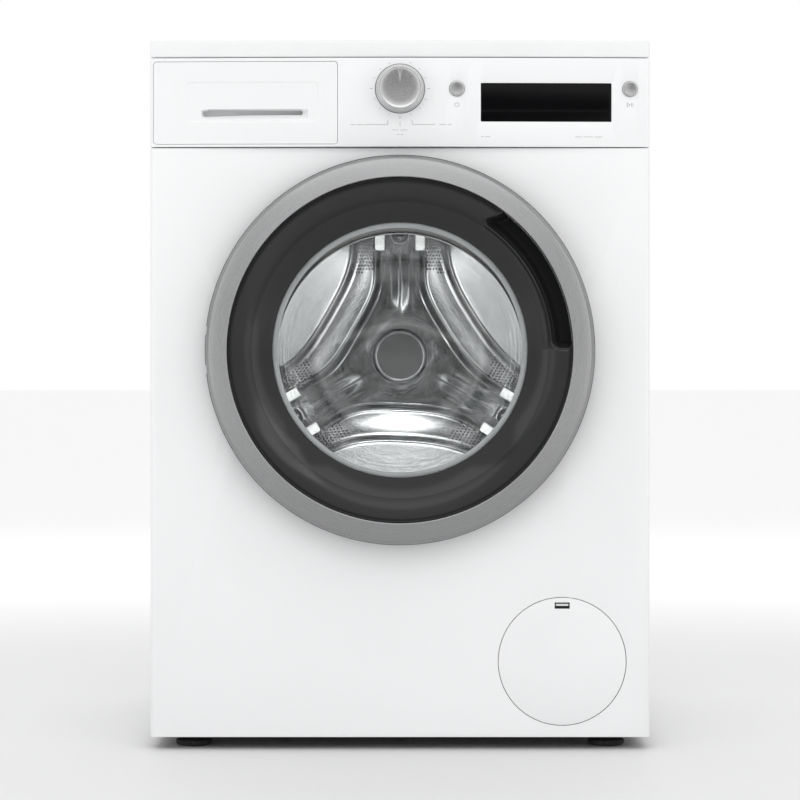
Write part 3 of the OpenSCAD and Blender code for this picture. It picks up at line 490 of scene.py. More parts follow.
LENS_DISTANCE = 3.4
camera_data = bpy.data.cameras.new("camera")
camera_data.sensor_width = 36.0
camera_data.lens = 127.9
camera_data.shift_y = -0.0625
camera_data.dof.use_dof = False
camera = bpy.data.objects.new("camera", camera_data)
camera.location = (0, FRONT_Y * MM - LENS_DISTANCE, DOOR_Z * MM)
camera.rotation_euler = (math.pi / 2, 0, 0)
bpy.context.scene.collection.objects.link(camera)
bpy.context.scene.camera = camera
bpy.context.scene.view_settings.view_transform = "Standard"

world = bpy.data.worlds.new("studio")
bpy.context.scene.world = world
world.use_nodes = True


def studio_sky():
    """Bright all round, darker low down and in the gap behind the camera, and a white backdrop."""
    tree = world.node_tree

    def add(kind, inputs):
        node = tree.nodes.new("ShaderNode" + kind)
        for key, value in inputs.items():
            if isinstance(value, bpy.types.NodeSocket):
                tree.links.new(value, node.inputs[key])
            else:
                node.inputs[key].default_value = value
        return node

    toward = add("SeparateXYZ", {"Vector": add("TexCoord", {}).outputs["Generated"]}).outputs
    up = add("MapRange", {"Value": toward["Z"], "From Min": -0.35, "From Max": 0.55, "To Min": SKY_LOW,
                          "To Max": SKY_HIGH})
    gap = add("MapRange", {"Value": toward["Y"], "From Min": -math.cos(math.radians(GAP_OUTER)),
                           "From Max": -math.cos(math.radians(GAP_INNER)), "To Min": 1.0, "To Max": GAP_DARK})
    gap.interpolation_type = "SMOOTHSTEP"
    both = add("Math", {0: up.outputs[0], 1: gap.outputs[0]})
    both.operation = "MULTIPLY"
    sky = tree.nodes["Background"]
    sky.inputs["Color"].default_value = (1, 1, 1, 1)
    tree.links.new(both.outputs[0], sky.inputs["Strength"])
    backdrop = add("Background", {"Color": (1, 1, 1, 1), "Strength": 1.0})
    either = add("MixShader", {0: add("LightPath", {}).outputs["Is Camera Ray"], 1: sky.outputs[0],
                               2: backdrop.outputs[0]})
    tree.links.new(either.outputs[0], tree.nodes["World Output"].inputs["Surface"])


SKY_LOW, SKY_HIGH = 0.57, 1.0
GAP_OUTER, GAP_INNER, GAP_DARK = 18.0, 6.5, 0.07
studio_sky()


def softbox(name, place, target, width, height, watts):
    data = bpy.data.lights.new(name, "AREA")
    data.shape = "RECTANGLE"
    data.size = width
    data.size_y = height
    data.energy = watts
    obj = bpy.data.objects.new(name, data)
    obj.location = place
    obj.rotation_euler = (Vector(target) - Vector(place)).to_track_quat("-Z", "Y").to_euler()
    obj.visible_camera = False
    bpy.context.scene.collection.objects.link(obj)
    return obj


def lamp_for(parts, name, place, target, width, height, watts):
    """Lamp that lights only these parts."""
    seen_by = bpy.data.collections.new(name)
    for part in parts:
        seen_by.objects.link(part)
    softbox(name, place, target, width, height, watts).light_linking.receiver_collection = seen_by


MIDDLE = (0, 0, 0.45)
softbox("key_above", (0, -2.6, 2.6), MIDDLE, 3.2, 1.2, 12)
softbox("fill_left", (-2.3, -2.6, 1.0), MIDDLE, 0.8, 2.2, 5)
softbox("fill_right", (2.3, -2.6, 1.0), MIDDLE, 0.8, 2.2, 5)
softbox("front_low", (0, -3.9, 0.25), MIDDLE, 1.6, 0.35, 7).visible_glossy = False
softbox("back_rim", (0, 3.2, 2.2), MIDDLE, 3.0, 1.4, 12)


def ground_sheet(name, x, y_low, y_high, z):
    mesh = bpy.data.meshes.new(name)
    mesh.from_pydata([(-x, y_low, z), (x, y_low, z), (x, y_high, z), (-x, y_high, z)], [], [(0, 1, 2, 3)])
    obj = new_object(name, mesh)
    return obj


def floor_painted_shade_finish():
    """Pale floor, a little greyer under and near the machine as painted shade, and lighter further out."""
    g = Graph("floor")
    where = g.coordinates()
    far = g.add("VectorMath", {0: where}, operation="LENGTH").outputs["Value"]
    out = g.add("MapRange", {"Value": far, "From Min": 0.9, "From Max": 2.4},
                interpolation_type="SMOOTHSTEP")
    both = g.add("Mix", {"Factor": out.outputs["Result"]}, data_type="RGBA")
    # The greyer colour near the machine is painted shade
    both.inputs[6].default_value = (0.78, 0.78, 0.782, 1)
    both.inputs[7].default_value = (0.97, 0.97, 0.97, 1)
    g.link(both.outputs[2], g.shader.inputs["Base Color"])
    g.link(g.spread(g.noise(where, 3.0), 0.55, 0.65), g.shader.inputs["Roughness"])
    return g.mat


def flag_finish():
    """Continues the dark gap behind the camera down over the floor, for reflections only."""
    g = Graph("flag")
    ray = g.add("VectorMath", {0: g.coordinates(), 1: (0.0, FRONT_Y * MM, DOOR_Z * MM)}, operation="SUBTRACT")
    toward = g.add("VectorMath", {0: ray.outputs["Vector"]}, operation="NORMALIZE").outputs["Vector"]
    ahead = g.add("SeparateXYZ", {"Vector": toward}).outputs["Y"]
    inside = g.add("MapRange", {"Value": ahead, "From Min": -math.cos(math.radians(GAP_OUTER)),
                                "From Max": -math.cos(math.radians(GAP_INNER))},
                   interpolation_type="SMOOTHSTEP").outputs["Result"]
    dark = g.add("Emission", {"Color": (1, 1, 1, 1), "Strength": GAP_DARK})
    mixed = g.add("MixShader", {0: inside, 1: g.add("BsdfTransparent").outputs[0], 2: dark.outputs[0]})
    g.tree.nodes.remove(g.shader)
    g.link(mixed.outputs[0], g.output.inputs["Surface"])
    return g.mat


floor = ground_sheet("floor", 30.0, -30.0, 30.0, -0.0005)
floor.data.materials.append(floor_painted_shade_finish())
flag = ground_sheet("flag", 8.0, -18.0, -1.1, 0.0)
flag.data.materials.append(flag_finish())
flag.visible_camera = False
flag.visible_diffuse = False
flag.visible_shadow = False


# ---- Door ----

BEZEL_FRONT = DOOR_FRONT + 3
RIM_R = RING_R - 1.0
GRIP_R = 177.5
GRIP_FLOOR = DOOR_FRONT + 25.5


def ring_profile():
    """Gently coned face of the silver ring with a rounded outer edge, falling back to its outer wall."""
    edge, fall = 7.0, 4.6
    low = DOOR_FRONT + fall
    outer, inner = [], []
    for i in range(13):
        t = math.radians(78 * i / 12)
        outer.append((RIM_R - edge + edge * math.cos(t), low + edge - edge * math.sin(t)))
        inner.append((RIM_R - edge + (edge - 3) * math.cos(t), low + edge - (edge - 3) * math.sin(t)))
    wide = outer[-1][0] - BEZEL_R - 1.6
    for i in range(1, 11):
        t = i / 10
        y = mix(outer[12][1], DOOR_FRONT + 0.05, t ** 0.92)
        outer.append((outer[12][0] - wide * t, y))
        inner.append((min(inner[12][0], outer[-1][0] + 0.4), y + 3))
    lip = [(BEZEL_R + 0.8, DOOR_FRONT + 0.5), (BEZEL_R + 0.5, DOOR_FRONT + 1.4),
           (BEZEL_R + 0.5, DOOR_FRONT + 6), (BEZEL_R + 3, DOOR_FRONT + 6)]
    ends = [(RIM_R - 3, ring_high.y), (RIM_R - 0.6, ring_high.y), (RIM_R, ring_high.y - 0.6)]
    return ends + outer + lip + inner[::-1]


door_ring = turned("door_ring_crowned", ring_profile(), 0, DOOR_Z, 256)
HINGE_X = box_mm("hinge_plate")[0].x
# Dark plastic band round the ring's outer wall: painted shade, a thin dark outline where the gap between the
# ring and the panel is in shadow
shade_outline_band = turned("door_ring_painted_shade_band", [
    (RIM_R + 0.05, DOOR_FRONT + 15), (RING_R - 0.3, DOOR_FRONT + 15), (RING_R, DOOR_FRONT + 15.3),
    (RING_R, ring_high.y - 0.4), (RIM_R + 0.05, ring_high.y - 0.4)], 0, DOOR_Z, 256)
for part in (door_ring, shade_outline_band):
    boolean(part, [block("notch", (-RING_R - 2, DOOR_FRONT + 14, DOOR_Z + dz - 5),
                         (HINGE_X + 12, FRONT_Y + 4, DOOR_Z + dz + 5)) for dz in (-23, 23)])
piece(door_ring, "door", "silver_trim", "door_ring")
piece(shade_outline_band, "door", "dark_plastic")


def bezel_face(r, turn):
    """Y of the dark bezel's face: a dish with the handle recess let into its right upper side."""
    t = (BEZEL_R - r) / (BEZEL_R - GLASS_R)
    face = BEZEL_FRONT + 0.4 * smoothstep(0.06, 0.0, t) + 22.6 * max(t, 0) ** 1.55
    angle = math.degrees(turn)
    if angle > 180:
        angle -= 360
    if not -2 < angle < 62:
        return face
    height = r * math.sin(turn)
    top = mix(58.2, 53.6, smoothstep(GRIP_R, BEZEL_R, r))
    past = r - GRIP_R + 3
    into = 0.10 * min(max(past, 0) / 7, 1) ** 2 + 0.90 * smoothstep(4.0, 17, past)
    above = 0.06 * smoothstep(0.3, 1.0, height) + 0.94 * smoothstep(0.8, 13, height)
    below = smoothstep(0, 11.0, math.radians(top - angle) * r)
    rounding = smoothstep(0, 9, 18 - math.hypot(max(9 - (r - GRIP_R), 0), max(9 - height, 0)))
    # Low ridge that stands just inside the recess
    ridge = 0.9 * math.exp(-((r - GRIP_R + 4) / 3.0) ** 2) * smoothstep(0.3, 4, height) * below
    return mix(face, GRIP_FLOOR - 0.4 * (BEZEL_R - r) / 10, into * above * below * rounding) - ridge


def bezel_mesh():
    turns = []
    for i in range(360):
        fine = 5 if i < 4 or 50 < i < 61 else (2 if i < 62 else 1)
        turns += [math.radians(i + k / fine) for k in range(fine)]
    radii = [GLASS_R + 0.05, GLASS_R + 0.4, GLASS_R + 1.2]
    radii += [GLASS_R + 2.5 + 1.25 * i for i in range(int((BEZEL_R - 2 - GLASS_R) / 1.25))]
    radii += [BEZEL_R - 0.7, BEZEL_R - 0.25, BEZEL_R]
    rings = []
    for turn in turns:
        c, s = math.cos(turn), math.sin(turn)
        column = [(r, bezel_face(r, turn)) for r in radii]
        back = [(r, min(y + 2.6, FRONT_Y - 8.4)) for r, y in column]
        back[0] = (radii[0], min(column[0][1] + 3.4, FRONT_Y - 8.3))
        rings.append([(r * c, y, DOOR_Z + r * s) for r, y in column + back[::-1]])
    return skin("door_bezel_sculpted", rings, 48, around=True)


door_bezel = piece(bezel_mesh(), "door", "bezel_plastic", "door_bezel")


def glass_profile():
    """Pressed bowl: a flange, a steep side and a nearly flat bottom, about 5 mm thick."""
    rim = FRONT_Y - 7
    back = [(0.02, -161.6), (40, -161.9), (72, -163.2), (94, -165.6), (105, -169.2), (111, -174.6),
            (115.5, -184), (124, -205), (134, -228), (139, -250), (140.6, rim - 0.6), (141.5, rim + 0.3),
            (150, rim + 0.3), (GLASS_R + 2.3, rim + 0.3), (GLASS_R + 2.3, rim - 0.9)]
    front = [(GLASS_R - 0.5, rim - 0.9), (GLASS_R - 0.5, rim - 4.2), (GLASS_R - 1.2, rim - 5),
             (147, rim - 5), (138.5, rim - 4.8), (135.6, rim - 2), (134.2, -250), (129, -228),
             (119, -204), (111, -186), (106.6, -178), (101, -173.4), (91, -170.4), (70, -168.2),
             (38, -166.9), (0.02, -166.6)]
    return back + front


def spline(points, count):
    """More points along a smooth curve through an open row of (radius, Y)."""
    out = []
    last = len(points) - 1
    for i in range(last):
        p0, p1, p2, p3 = (points[max(i - 1, 0)], points[i], points[i + 1], points[min(i + 2, last)])
        for k in range(count):
            t = k / count
            out.append(tuple(0.5 * (2 * p1[a] + (p2[a] - p0[a]) * t
                       + (2 * p0[a] - 5 * p1[a] + 4 * p2[a] - p3[a]) * t * t
                       + (3 * p1[a] - p0[a] - 3 * p2[a] + p3[a]) * t ** 3) for a in range(2)))
    return out + [points[-1]]


bowl = glass_profile()
bowl_line = spline(bowl[:11], 3) + bowl[11:18] + spline(bowl[18:], 3)
door_bowl = turned("door_glass_bowl", bowl_line, 0, DOOR_Z, 192, smooth=60)
piece(door_bowl, "door", "porthole_glass", "door_glass")

# Pale seal that grips the rim of the glass
rim_seal = turned("glass_rim_seal", smooth_profile([
    (146.2, -271.3), (GLASS_R + 4.6, -271.3), (GLASS_R + 4.6, -266.6), (149, -266.6), (146.2, -268.6)]),
    0, DOOR_Z, 192)
piece(rim_seal, "door", "seal_grey")
inner_frame = refined("door_inner_frame_moulded", "door_inner_frame", 0.5)
cutter = turned("cut", [(120, -272.5), (146.0, -272.5), (146.0, -265.5), (120, -265.5)], 0, DOOR_Z, 192)
boolean(inner_frame, [cutter])
piece(inner_frame, "door", "light_plastic", "door_inner_frame")


# ---- Door gasket, between the cabinet and the tub ----

def gasket_profile():
    lip = FRONT_Y + 2
    outer = [(160.5, lip + 0.4), (162, lip), (167.5, lip), (169.4, lip + 1.2), (169.5, lip + 11.5),
             (177.5, lip + 16), (178, lip + 22), (170, lip + 26), (160.6, lip + 30), (160.4, lip + 34),
             (170, lip + 37.5), (175.8, lip + 41), (176, lip + 48), (171, lip + 50.2)]
    inner = [(165.4, lip + 50.2), (168.5, lip + 47.5), (170.4, lip + 45.8), (168, lip + 42.2),
             (155, lip + 36.4), (154.2, lip + 34), (154.2, lip + 29.6), (156, lip + 27.4),
             (170.6, lip + 20.4), (169, lip + 17.4), (161.6, lip + 13.4), (160.6, lip + 9)]
    return smooth_profile(outer + inner, 2)


bends(turned("door_gasket_bellows", gasket_profile(), 0, DOOR_Z, 128, smooth=60), "grey_rubber",
      (0, FRONT_Y + 14, DOOR_Z), (0, FRONT_Y + 50, DOOR_Z), "door_gasket")


for part, name, x, z, size, watts in (
        (door_ring, "ring_upper_left", -0.62, 1.1, 0.5, 1.1),
        (door_ring, "ring_upper_right", 0.62, 1.1, 0.5, 1.1),
        (door_ring, "ring_lower_right", 0.6, 0.12, 0.4, 0.4),
        (door_bezel, "bezel_upper", 1.4, 1.6, 1.0, 5.0)):
    lamp_for([part], name, (x, -2.4, z), (0, FRONT_Y * MM, DOOR_Z * MM), size, size, watts)


# ---- Drum ----

ARM_TURNS = [math.radians(a) for a in (90, 210, 330)]
SHELL_Y = MOUTH_Y + 8
# Half width of the arms, and how softly they run into each other
INNER_STAR, OUTER_STAR = (29, 84), (60, 100)


def soft_min(a, b, k):
    h = max(k - abs(a - b), 0) / k
    return min(a, b) - h * h * k / 4


def star_distance(x, z, half, k):
    """Distance outside a three-armed star with arms of this half width, in millimetres."""
    d = None
    for turn in ARM_TURNS:
        c, s = math.cos(turn), math.sin(turn)
        along = x * c + z * s
        across = abs(z * c - x * s)
        near = across if along > 0 else math.hypot(along, across)
        d = near if d is None else soft_min(d, near, k)
    return d - half


def arm_across(x, z):
    """Distance from the nearest arm's middle line."""
    best = 1e9
    for turn in ARM_TURNS:
        c, s = math.cos(turn), math.sin(turn)
        if x * c + z * s > 0:
            best = min(best, abs(z * c - x * s))
    return best


def back_height(r, turn):
    """How far the drum's back wall stands towards the door at a place."""
    x, z = r * math.cos(turn), r * math.sin(turn)
    inner = star_distance(x, z, *INNER_STAR)
    outer = star_distance(x, z, *OUTER_STAR)
    band = min(max(outer / (outer - inner), 0), 1) if inner > 0 > outer else float(outer < 0)
    across = arm_across(x, z)
    arm = 7.4 + 0.9 * math.exp(-((inner + 3.0) / 1.6) ** 2) - 2.4 * math.exp(min(inner, 0) / 9)
    arm += 0.9 * math.exp(-(across / 5.0) ** 2) * smoothstep(46, 74, r)
    arm -= 0.7 * math.exp(-((across - 13) / 5.0) ** 2) * smoothstep(50, 84, r)
    arm += 0.42 * math.sin(x / 10.5 + 1.0) * math.sin(z / 13.5 + 0.4) + 0.10 * math.sin((x - z) / 7.0)
    arm -= 0.9 * math.exp(-((r - 33) / 30.0) ** 2)
    lowest = math.exp(-(x / 42) ** 2) if z < 0 else 0.0
    channel = 0.8 + (3.0 + 2.6 * lowest) * smoothstep(0.05, 0.95, 1 - band)
    channel -= 0.9 * math.exp(-((inner - 3.6) / 1.8) ** 2)
    channel += 0.8 * math.exp(-((outer + 2.5) / 1.8) ** 2)
    dish = 1.4 + 0.17 * min(max(outer, 0), 62) - 0.8 * math.exp(-((outer - 3.4) / 1.8) ** 2)
    h = mix(channel, arm, smoothstep(2.0, -2.4, inner))
    h = mix(h, dish, smoothstep(-2.0, 2.0, outer))
    h *= smoothstep(DRUM_R - 4, DRUM_R - 22, r)
    hub = smoothstep(36.8, 34.0, r)
    cap = 9.6 + 0.5 * math.exp(-((r - 32.8) / 0.9) ** 2) + 0.10 * math.cos(min(r / 32, 1) * math.pi)
    h -= 0.5 * math.exp(-((r - 36) / 9.0) ** 2)
    return mix(h, cap, hub)


def drum_back_mesh():
    radii = [2 + 2 * i for i in range(14)] + [30 + 0.5 * i for i in range(18)]
    radii += [39.4 + 1.45 * i for i in range(int((DRUM_R - 2 - 39.4) / 1.45))] + [DRUM_R - 1.2]
    steps = 432
    rows = len(radii)
    verts = [(0, BACK_Y - back_height(0, 0), AXIS_Z)]
    faces = []
    for i in range(steps):
        turn = TAU * i / steps
        for r in radii:
            verts.append((r * math.cos(turn), BACK_Y - back_height(r, turn), AXIS_Z + r * math.sin(turn)))
    for i in range(steps):
        a, b = 1 + i * rows, 1 + (i + 1) % steps * rows
        faces.append((0, a, b))
        for k in range(rows - 1):
            faces.append((a + k, a + k + 1, b + k + 1, b + k))
    obj = mesh_object("drum_back_pressed", verts, faces, 60)
    mod = obj.modifiers.new("sheet", "SOLIDIFY")
    mod.thickness = 0.9 * MM
    mod.offset = -1 if obj.data.polygons[0].normal.y < 0 else 1
    bake_modifiers(obj)
    return resmooth(obj, 60)


drum_back = piece(drum_back_mesh(), "drum", "stainless", "drum_back")


def perforated(name, place, across, along, bore, wrap=False, blind=()):
    """Sheet of square cells, each with a round hole. place(u, v, side) puts a point on face 0 or 1."""
    rim = [(2, 1), (2, 2), (1, 2), (0, 2), (0, 1), (0, 0), (1, 0), (2, 0)]
    verts, faces, known = [], [], {}

    def corner(i, j, side):
        key = (i % (2 * across) if wrap else i, j, side)
        if key not in known:
            known[key] = len(verts)
            verts.append(place(i / 2, j / 2, side))
        return known[key]

    for i in range(across):
        for j in range(along):
            outer = [[corner(2 * i + a, 2 * j + b, side) for a, b in rim] for side in (0, 1)]
            if j in blind:
                faces += [tuple(outer[0]), tuple(outer[1][::-1])]
                continue
            inner = []
            for side in (0, 1):
                inner.append(range(len(verts), len(verts) + 8))
                for k in range(8):
                    turn = TAU * k / 8
                    verts.append(place(i + 0.5 + bore * math.cos(turn), j + 0.5 + bore * math.sin(turn),
                                       side))
            for k in range(8):
                n = (k + 1) % 8
                faces.append((outer[0][k], outer[0][n], inner[0][n], inner[0][k]))
                faces.append((outer[1][n], outer[1][k], inner[1][k], inner[1][n]))
                faces.append((inner[0][k], inner[0][n], inner[1][n], inner[1][k]))
    for i in range(2 * across):
        for j in (0, 2 * along):
            faces.append((corner(i, j, 0), corner(i + 1, j, 0), corner(i + 1, j, 1), corner(i, j, 1)))
    for j in range(0 if wrap else 2 * along):
        for i in (0, 2 * across):
            faces.append((corner(i, j, 0), corner(i, j + 1, 0), corner(i, j + 1, 1), corner(i, j, 1)))
    return mesh_object(name, verts, faces, 30)


CELLS_ROUND, CELLS_DEEP = 132, 27
cell_y = (BACK_Y - SHELL_Y - 6) / CELLS_DEEP


def on_shell(u, v, side):
    turn = TAU * u / CELLS_ROUND
    r = DRUM_R - 1 + 0.9 * side
    return (r * math.cos(turn), SHELL_Y + 3 + v * cell_y, AXIS_Z + r * math.sin(turn))


shell_wall = perforated("wall", on_shell, CELLS_ROUND, CELLS_DEEP, 0.15, True, (0, CELLS_DEEP - 1))
mouth = turned("mouth", smooth_profile([
    (DRUM_R - 0.1, SHELL_Y + 3.5), (DRUM_R - 0.1, SHELL_Y + 1.5), (DRUM_R - 3, SHELL_Y), (160, SHELL_Y),
    (154, SHELL_Y - 0.4), (152, SHELL_Y - 3), (151.9, MOUTH_Y + 0.6), (151, MOUTH_Y), (150.1, MOUTH_Y + 0.6),
    (150.2, SHELL_Y - 2), (153, SHELL_Y + 1), (160, SHELL_Y + 1.3), (DRUM_R - 4, SHELL_Y + 1.3),
    (DRUM_R - 1, SHELL_Y + 2.5), (DRUM_R - 1, SHELL_Y + 3.5)], 1), 0, AXIS_Z, 192)
rear_hem = turned("hem", [(DRUM_R - 1.1, BACK_Y - 3.2), (DRUM_R, BACK_Y - 3.2), (DRUM_R, BACK_Y + 1.6),
                          (DRUM_R - 1.1, BACK_Y + 1.6)], 0, AXIS_Z, 192)
drum_shell = join("drum_shell_perforated", [shell_wall, mouth, rear_hem])
piece(drum_shell, "drum", "stainless_flat", "drum_shell")


# Lifters: perforated flanks, a polished ridge, a dark nose with its screw, and pale end pads, which are
# plastic and also a painted highlight where the arms' ends shine

RIDGE_R = 135.6
PADDLE_Y0, PADDLE_Y1 = SHELL_Y + 20.5, BACK_Y - 9.5


def paddle_frame(turn):
    out = (math.cos(turn), math.sin(turn))
    side = (-math.sin(turn), math.cos(turn))

    def place(across, r, y):
        return (r * out[0] + across * side[0], y, AXIS_Z + r * out[1] + across * side[1])
    return place


def flank(place, sign):
    """Perforated flank from the shell in to the ridge."""
    steps_r, steps_y = 11, 31

    def at(u, v, side):
        t = u / steps_r
        across = mix(35.5, 9.0, t) - 3.0 * math.sin(math.pi * t) - 0.8 * side
        r = mix(236.5, RIDGE_R + 4.5, t)
        y = mix(PADDLE_Y0 + 14 * t, PADDLE_Y1, v / steps_y)
        return place(sign * across, r, y)
    return perforated("flank", at, steps_r, steps_y, 0.2)


def ridge_beam(place):
    """Rounded beam along the inner edge of a lifter, lower at its nose."""
    section = [(-10.0, 5.5), (-9.6, 2.6), (-7.2, 0.7), (-3.6, 0.0), (0, -0.1), (3.6, 0.0), (7.2, 0.7),
               (9.6, 2.6), (10.0, 5.5), (8.8, 5.9), (0, 2.0), (-8.8, 5.9)]
    ys = [PADDLE_Y0 + 12, PADDLE_Y0 + 15, PADDLE_Y0 + 22, PADDLE_Y0 + 40, PADDLE_Y1 - 2, PADDLE_Y1]
    drop = [5.0, 2.2, 0.7, 0, 0, 1.2]
    rings = [[place(a, RIDGE_R + d + down, y) for a, d in section] for y, down in zip(ys, drop)]
    return skin("ridge", rings, 50, ends=True)


def nose(place):
    """Dark wedge that closes the front of a lifter."""
    rows = [(PADDLE_Y0 - 0.2, 1.0, 0.0), (PADDLE_Y0 + 2.5, 1.05, -1.2), (PADDLE_Y0 + 15, 1.0, -1.6)]
    outline = [(-35, 237), (-28, 216), (-16, 176), (-9.5, 148), (-6, 142.2), (0, 140.2), (6, 142.2),
               (9.5, 148), (16, 176), (28, 216), (35, 237)]
    rings = [[place(a * f, r + (d if r < 230 else 0), y + 12 * (1 - (r - 140) / 98)) for a, r in outline]
             for y, f, d in rows]
    return skin("nose", rings, ends=True)


def pad(place, sign):
    """Pale end pad beside the lifter's foot, on the arm of the back wall: pale plastic that also serves as a
    painted highlight where the arm's end shines.
    """
    low, high = (sign * 20.5, 141.5), (sign * 33.5, 165)
    x0, x1 = sorted((low[0], high[0]))
    corners = round_rect(x0, low[1], x1, high[1], 2.5, 4)
    cx, cr = (x0 + x1) / 2, (low[1] + high[1]) / 2
    rings = [[place(cx + (a - cx) * f, cr + (r - cr) * (1 - (1 - f) * 0.5), y) for a, r in corners]
             for y, f in ((BACK_Y - 6, 1.0), (BACK_Y - 12.4, 1.0), (BACK_Y - 13.3, 0.94),
                          (BACK_Y - 13.6, 0.8))]
    return skin("pad", rings, ends=True)


flanks, ridges, noses, highlight_pads, studs = [], [], [], [], []
for turn in ARM_TURNS:
    place = paddle_frame(turn)
    flanks += [flank(place, 1), flank(place, -1)]
    ridges.append(ridge_beam(place))
    noses.append(nose(place))
    highlight_pads += [pad(place, 1), pad(place, -1)]
    x, _, z = place(0, 147.5, 0)
    y = PADDLE_Y0 + 11
    studs.append(turned("stud", [(0.01, y - 2.6), (1.6, y - 2.4), (2.7, y - 1.5), (3.0, y), (3.0, y + 4),
                                 (0.01, y + 4)], x, z, 24))
flank_piece = piece(join("paddle_flanks", flanks), "drum", "stainless_flat", "drum_paddles")
ridge_piece = piece(join("paddle_ridges", ridges), "drum", "stainless_flat")
piece(join("paddle_noses", noses), "drum", "dark_plastic")
highlight_pad_piece = piece(join("paddle_pads", highlight_pads), "drum", "light_plastic")
piece(join("paddle_screws", studs), "drum", "machine_steel")


# Rows of small near-black discs where the channels run out to the rim: painted shade that stands for punched
# holes

def painted_hole_shade():
    verts, faces = [], []
    for turn in ARM_TURNS:
        c, s = math.cos(turn), math.sin(turn)
        for i in range(22):
            for j in range(11):
                along = 112 + 4.6 * i
                for side in (-1, 1):
                    across = side * (31 + 4.0 * j + 2.0 * (i % 2))
                    x, z = along * c - across * s, along * s + across * c
                    r = math.hypot(x, z)
                    if star_distance(x, z, *INNER_STAR) < 5.5 or star_distance(x, z, *OUTER_STAR) > -4.5 \
                            or not 122 < r < DRUM_R - 24:
                        continue
                    y = BACK_Y - back_height(r, math.atan2(z, x))
                    start = len(verts)
                    for depth in (0.5, -0.12):
                        for k in range(8):
                            t = TAU * k / 8
                            verts.append((x + 1.25 * math.cos(t), y + depth, AXIS_Z + z + 1.25 * math.sin(t)))
                    faces.append(tuple(start + 15 - k for k in range(8)))
                    faces.append(tuple(start + k for k in range(8)))
                    for k in range(8):
                        n = (k + 1) % 8
                        faces.append((start + k, start + 8 + k, start + 8 + n, start + n))
    return mesh_object("drum_back_dark_hole_discs", verts, faces, 30)


piece(painted_hole_shade(), "drum", "recess_dark")


# Lamps that only light the drum, as if they shone in through the porthole
inside = (drum_back, ridge_piece, highlight_pad_piece, flank_piece)
for parts, name, place, wide, tall, watts in (
        (inside, "drum_top", (0, -2.4, 1.5), 1.7, 0.6, 13.0),
        (inside, "drum_left", (-0.8, -2.4, 0.62), 0.3, 1.0, 3.4),
        (inside, "drum_right", (0.8, -2.4, 0.62), 0.3, 1.0, 3.4),
        ([highlight_pad_piece], "pad_light", (0, -1.9, 0.9), 0.8, 0.6, 110.0),
        ([highlight_pad_piece], "pad_light_low", (0, -1.9, 0.12), 0.8, 0.2, 60.0)):
    lamp_for(parts, name, place, (0, BACK_Y * MM, AXIS_Z * MM), wide, tall, watts)


# ---- Cabinet ----

BOW = FRONT_Y - fascia_low.y
BOW_R = (HALF_W ** 2 + BOW ** 2) / (2 * BOW)


def bow_y(x, inset=0.0):
    """Y of the bowed front face at a place across the machine."""
    return fascia_low.y + inset + BOW_R - math.sqrt(BOW_R ** 2 - x * x)


def bowed_outline(x0, x1, back, inset=0.0, corner=0.0):
    """Outline seen from above: the bowed front, rounded at its ends if corner is set, and a flat back."""
    steps = 48
    points = [(x, bow_y(x, inset)) for x in (mix(x0, x1, i / steps) for i in range(steps + 1))]
    if corner:
        points = [p for p in points if x0 + corner < p[0] < x1 - corner]
        left = sorted((x0 + corner * (1 - math.sin(t)), bow_y(x0 + corner) + corner * (1 - math.cos(t)))
                      for t in (math.pi / 2 * k / 6 for k in range(7)))
        points = left + points + [(x0 + x1 - x, y) for x, y in left[::-1]]
    return points + [(x1, back), (x0, back)]


piece(refined("front_panel_folded", "front_panel", 0.7, 3), "cabinet", "enamel", "front_panel")
piece(refined("worktop_board", "top_cover", 2.2, 4, 50), "cabinet", "worktop", "top_cover")
piece(refined("base_tray_moulded", "base_tray", 0.8, 2), "cabinet", "dark_plastic", "base_tray")


def pressed_sheet(name, cols, rows, place, thick, outward):
    """Sheet-metal panel from a grid of points, thickened away from outward."""
    verts = [place(i, j) for j in range(rows + 1) for i in range(cols + 1)]
    up = cols + 1
    faces = [(a, a + 1, a + up + 1, a + up) for a in (j * up + i for j in range(rows) for i in range(cols))]
    obj = mesh_object(name, verts, faces, 50)
    facing = sum((p.normal for p in obj.data.polygons), Vector()).dot(Vector(outward))
    mod = obj.modifiers.new("sheet", "SOLIDIFY")
    mod.thickness = thick * MM
    mod.offset = -1 if facing > 0 else 1
    bake_modifiers(obj)
    return resmooth(obj, 45)


def frame_distance(a, b, low, high, r):
    """Distance outside a rounded rectangle, negative inside."""
    x = abs(a - (low[0] + high[0]) / 2) - (high[0] - low[0]) / 2 + r
    y = abs(b - (low[1] + high[1]) / 2) - (high[1] - low[1]) / 2 + r
    return math.hypot(max(x, 0), max(y, 0)) + min(max(x, y), 0) - r


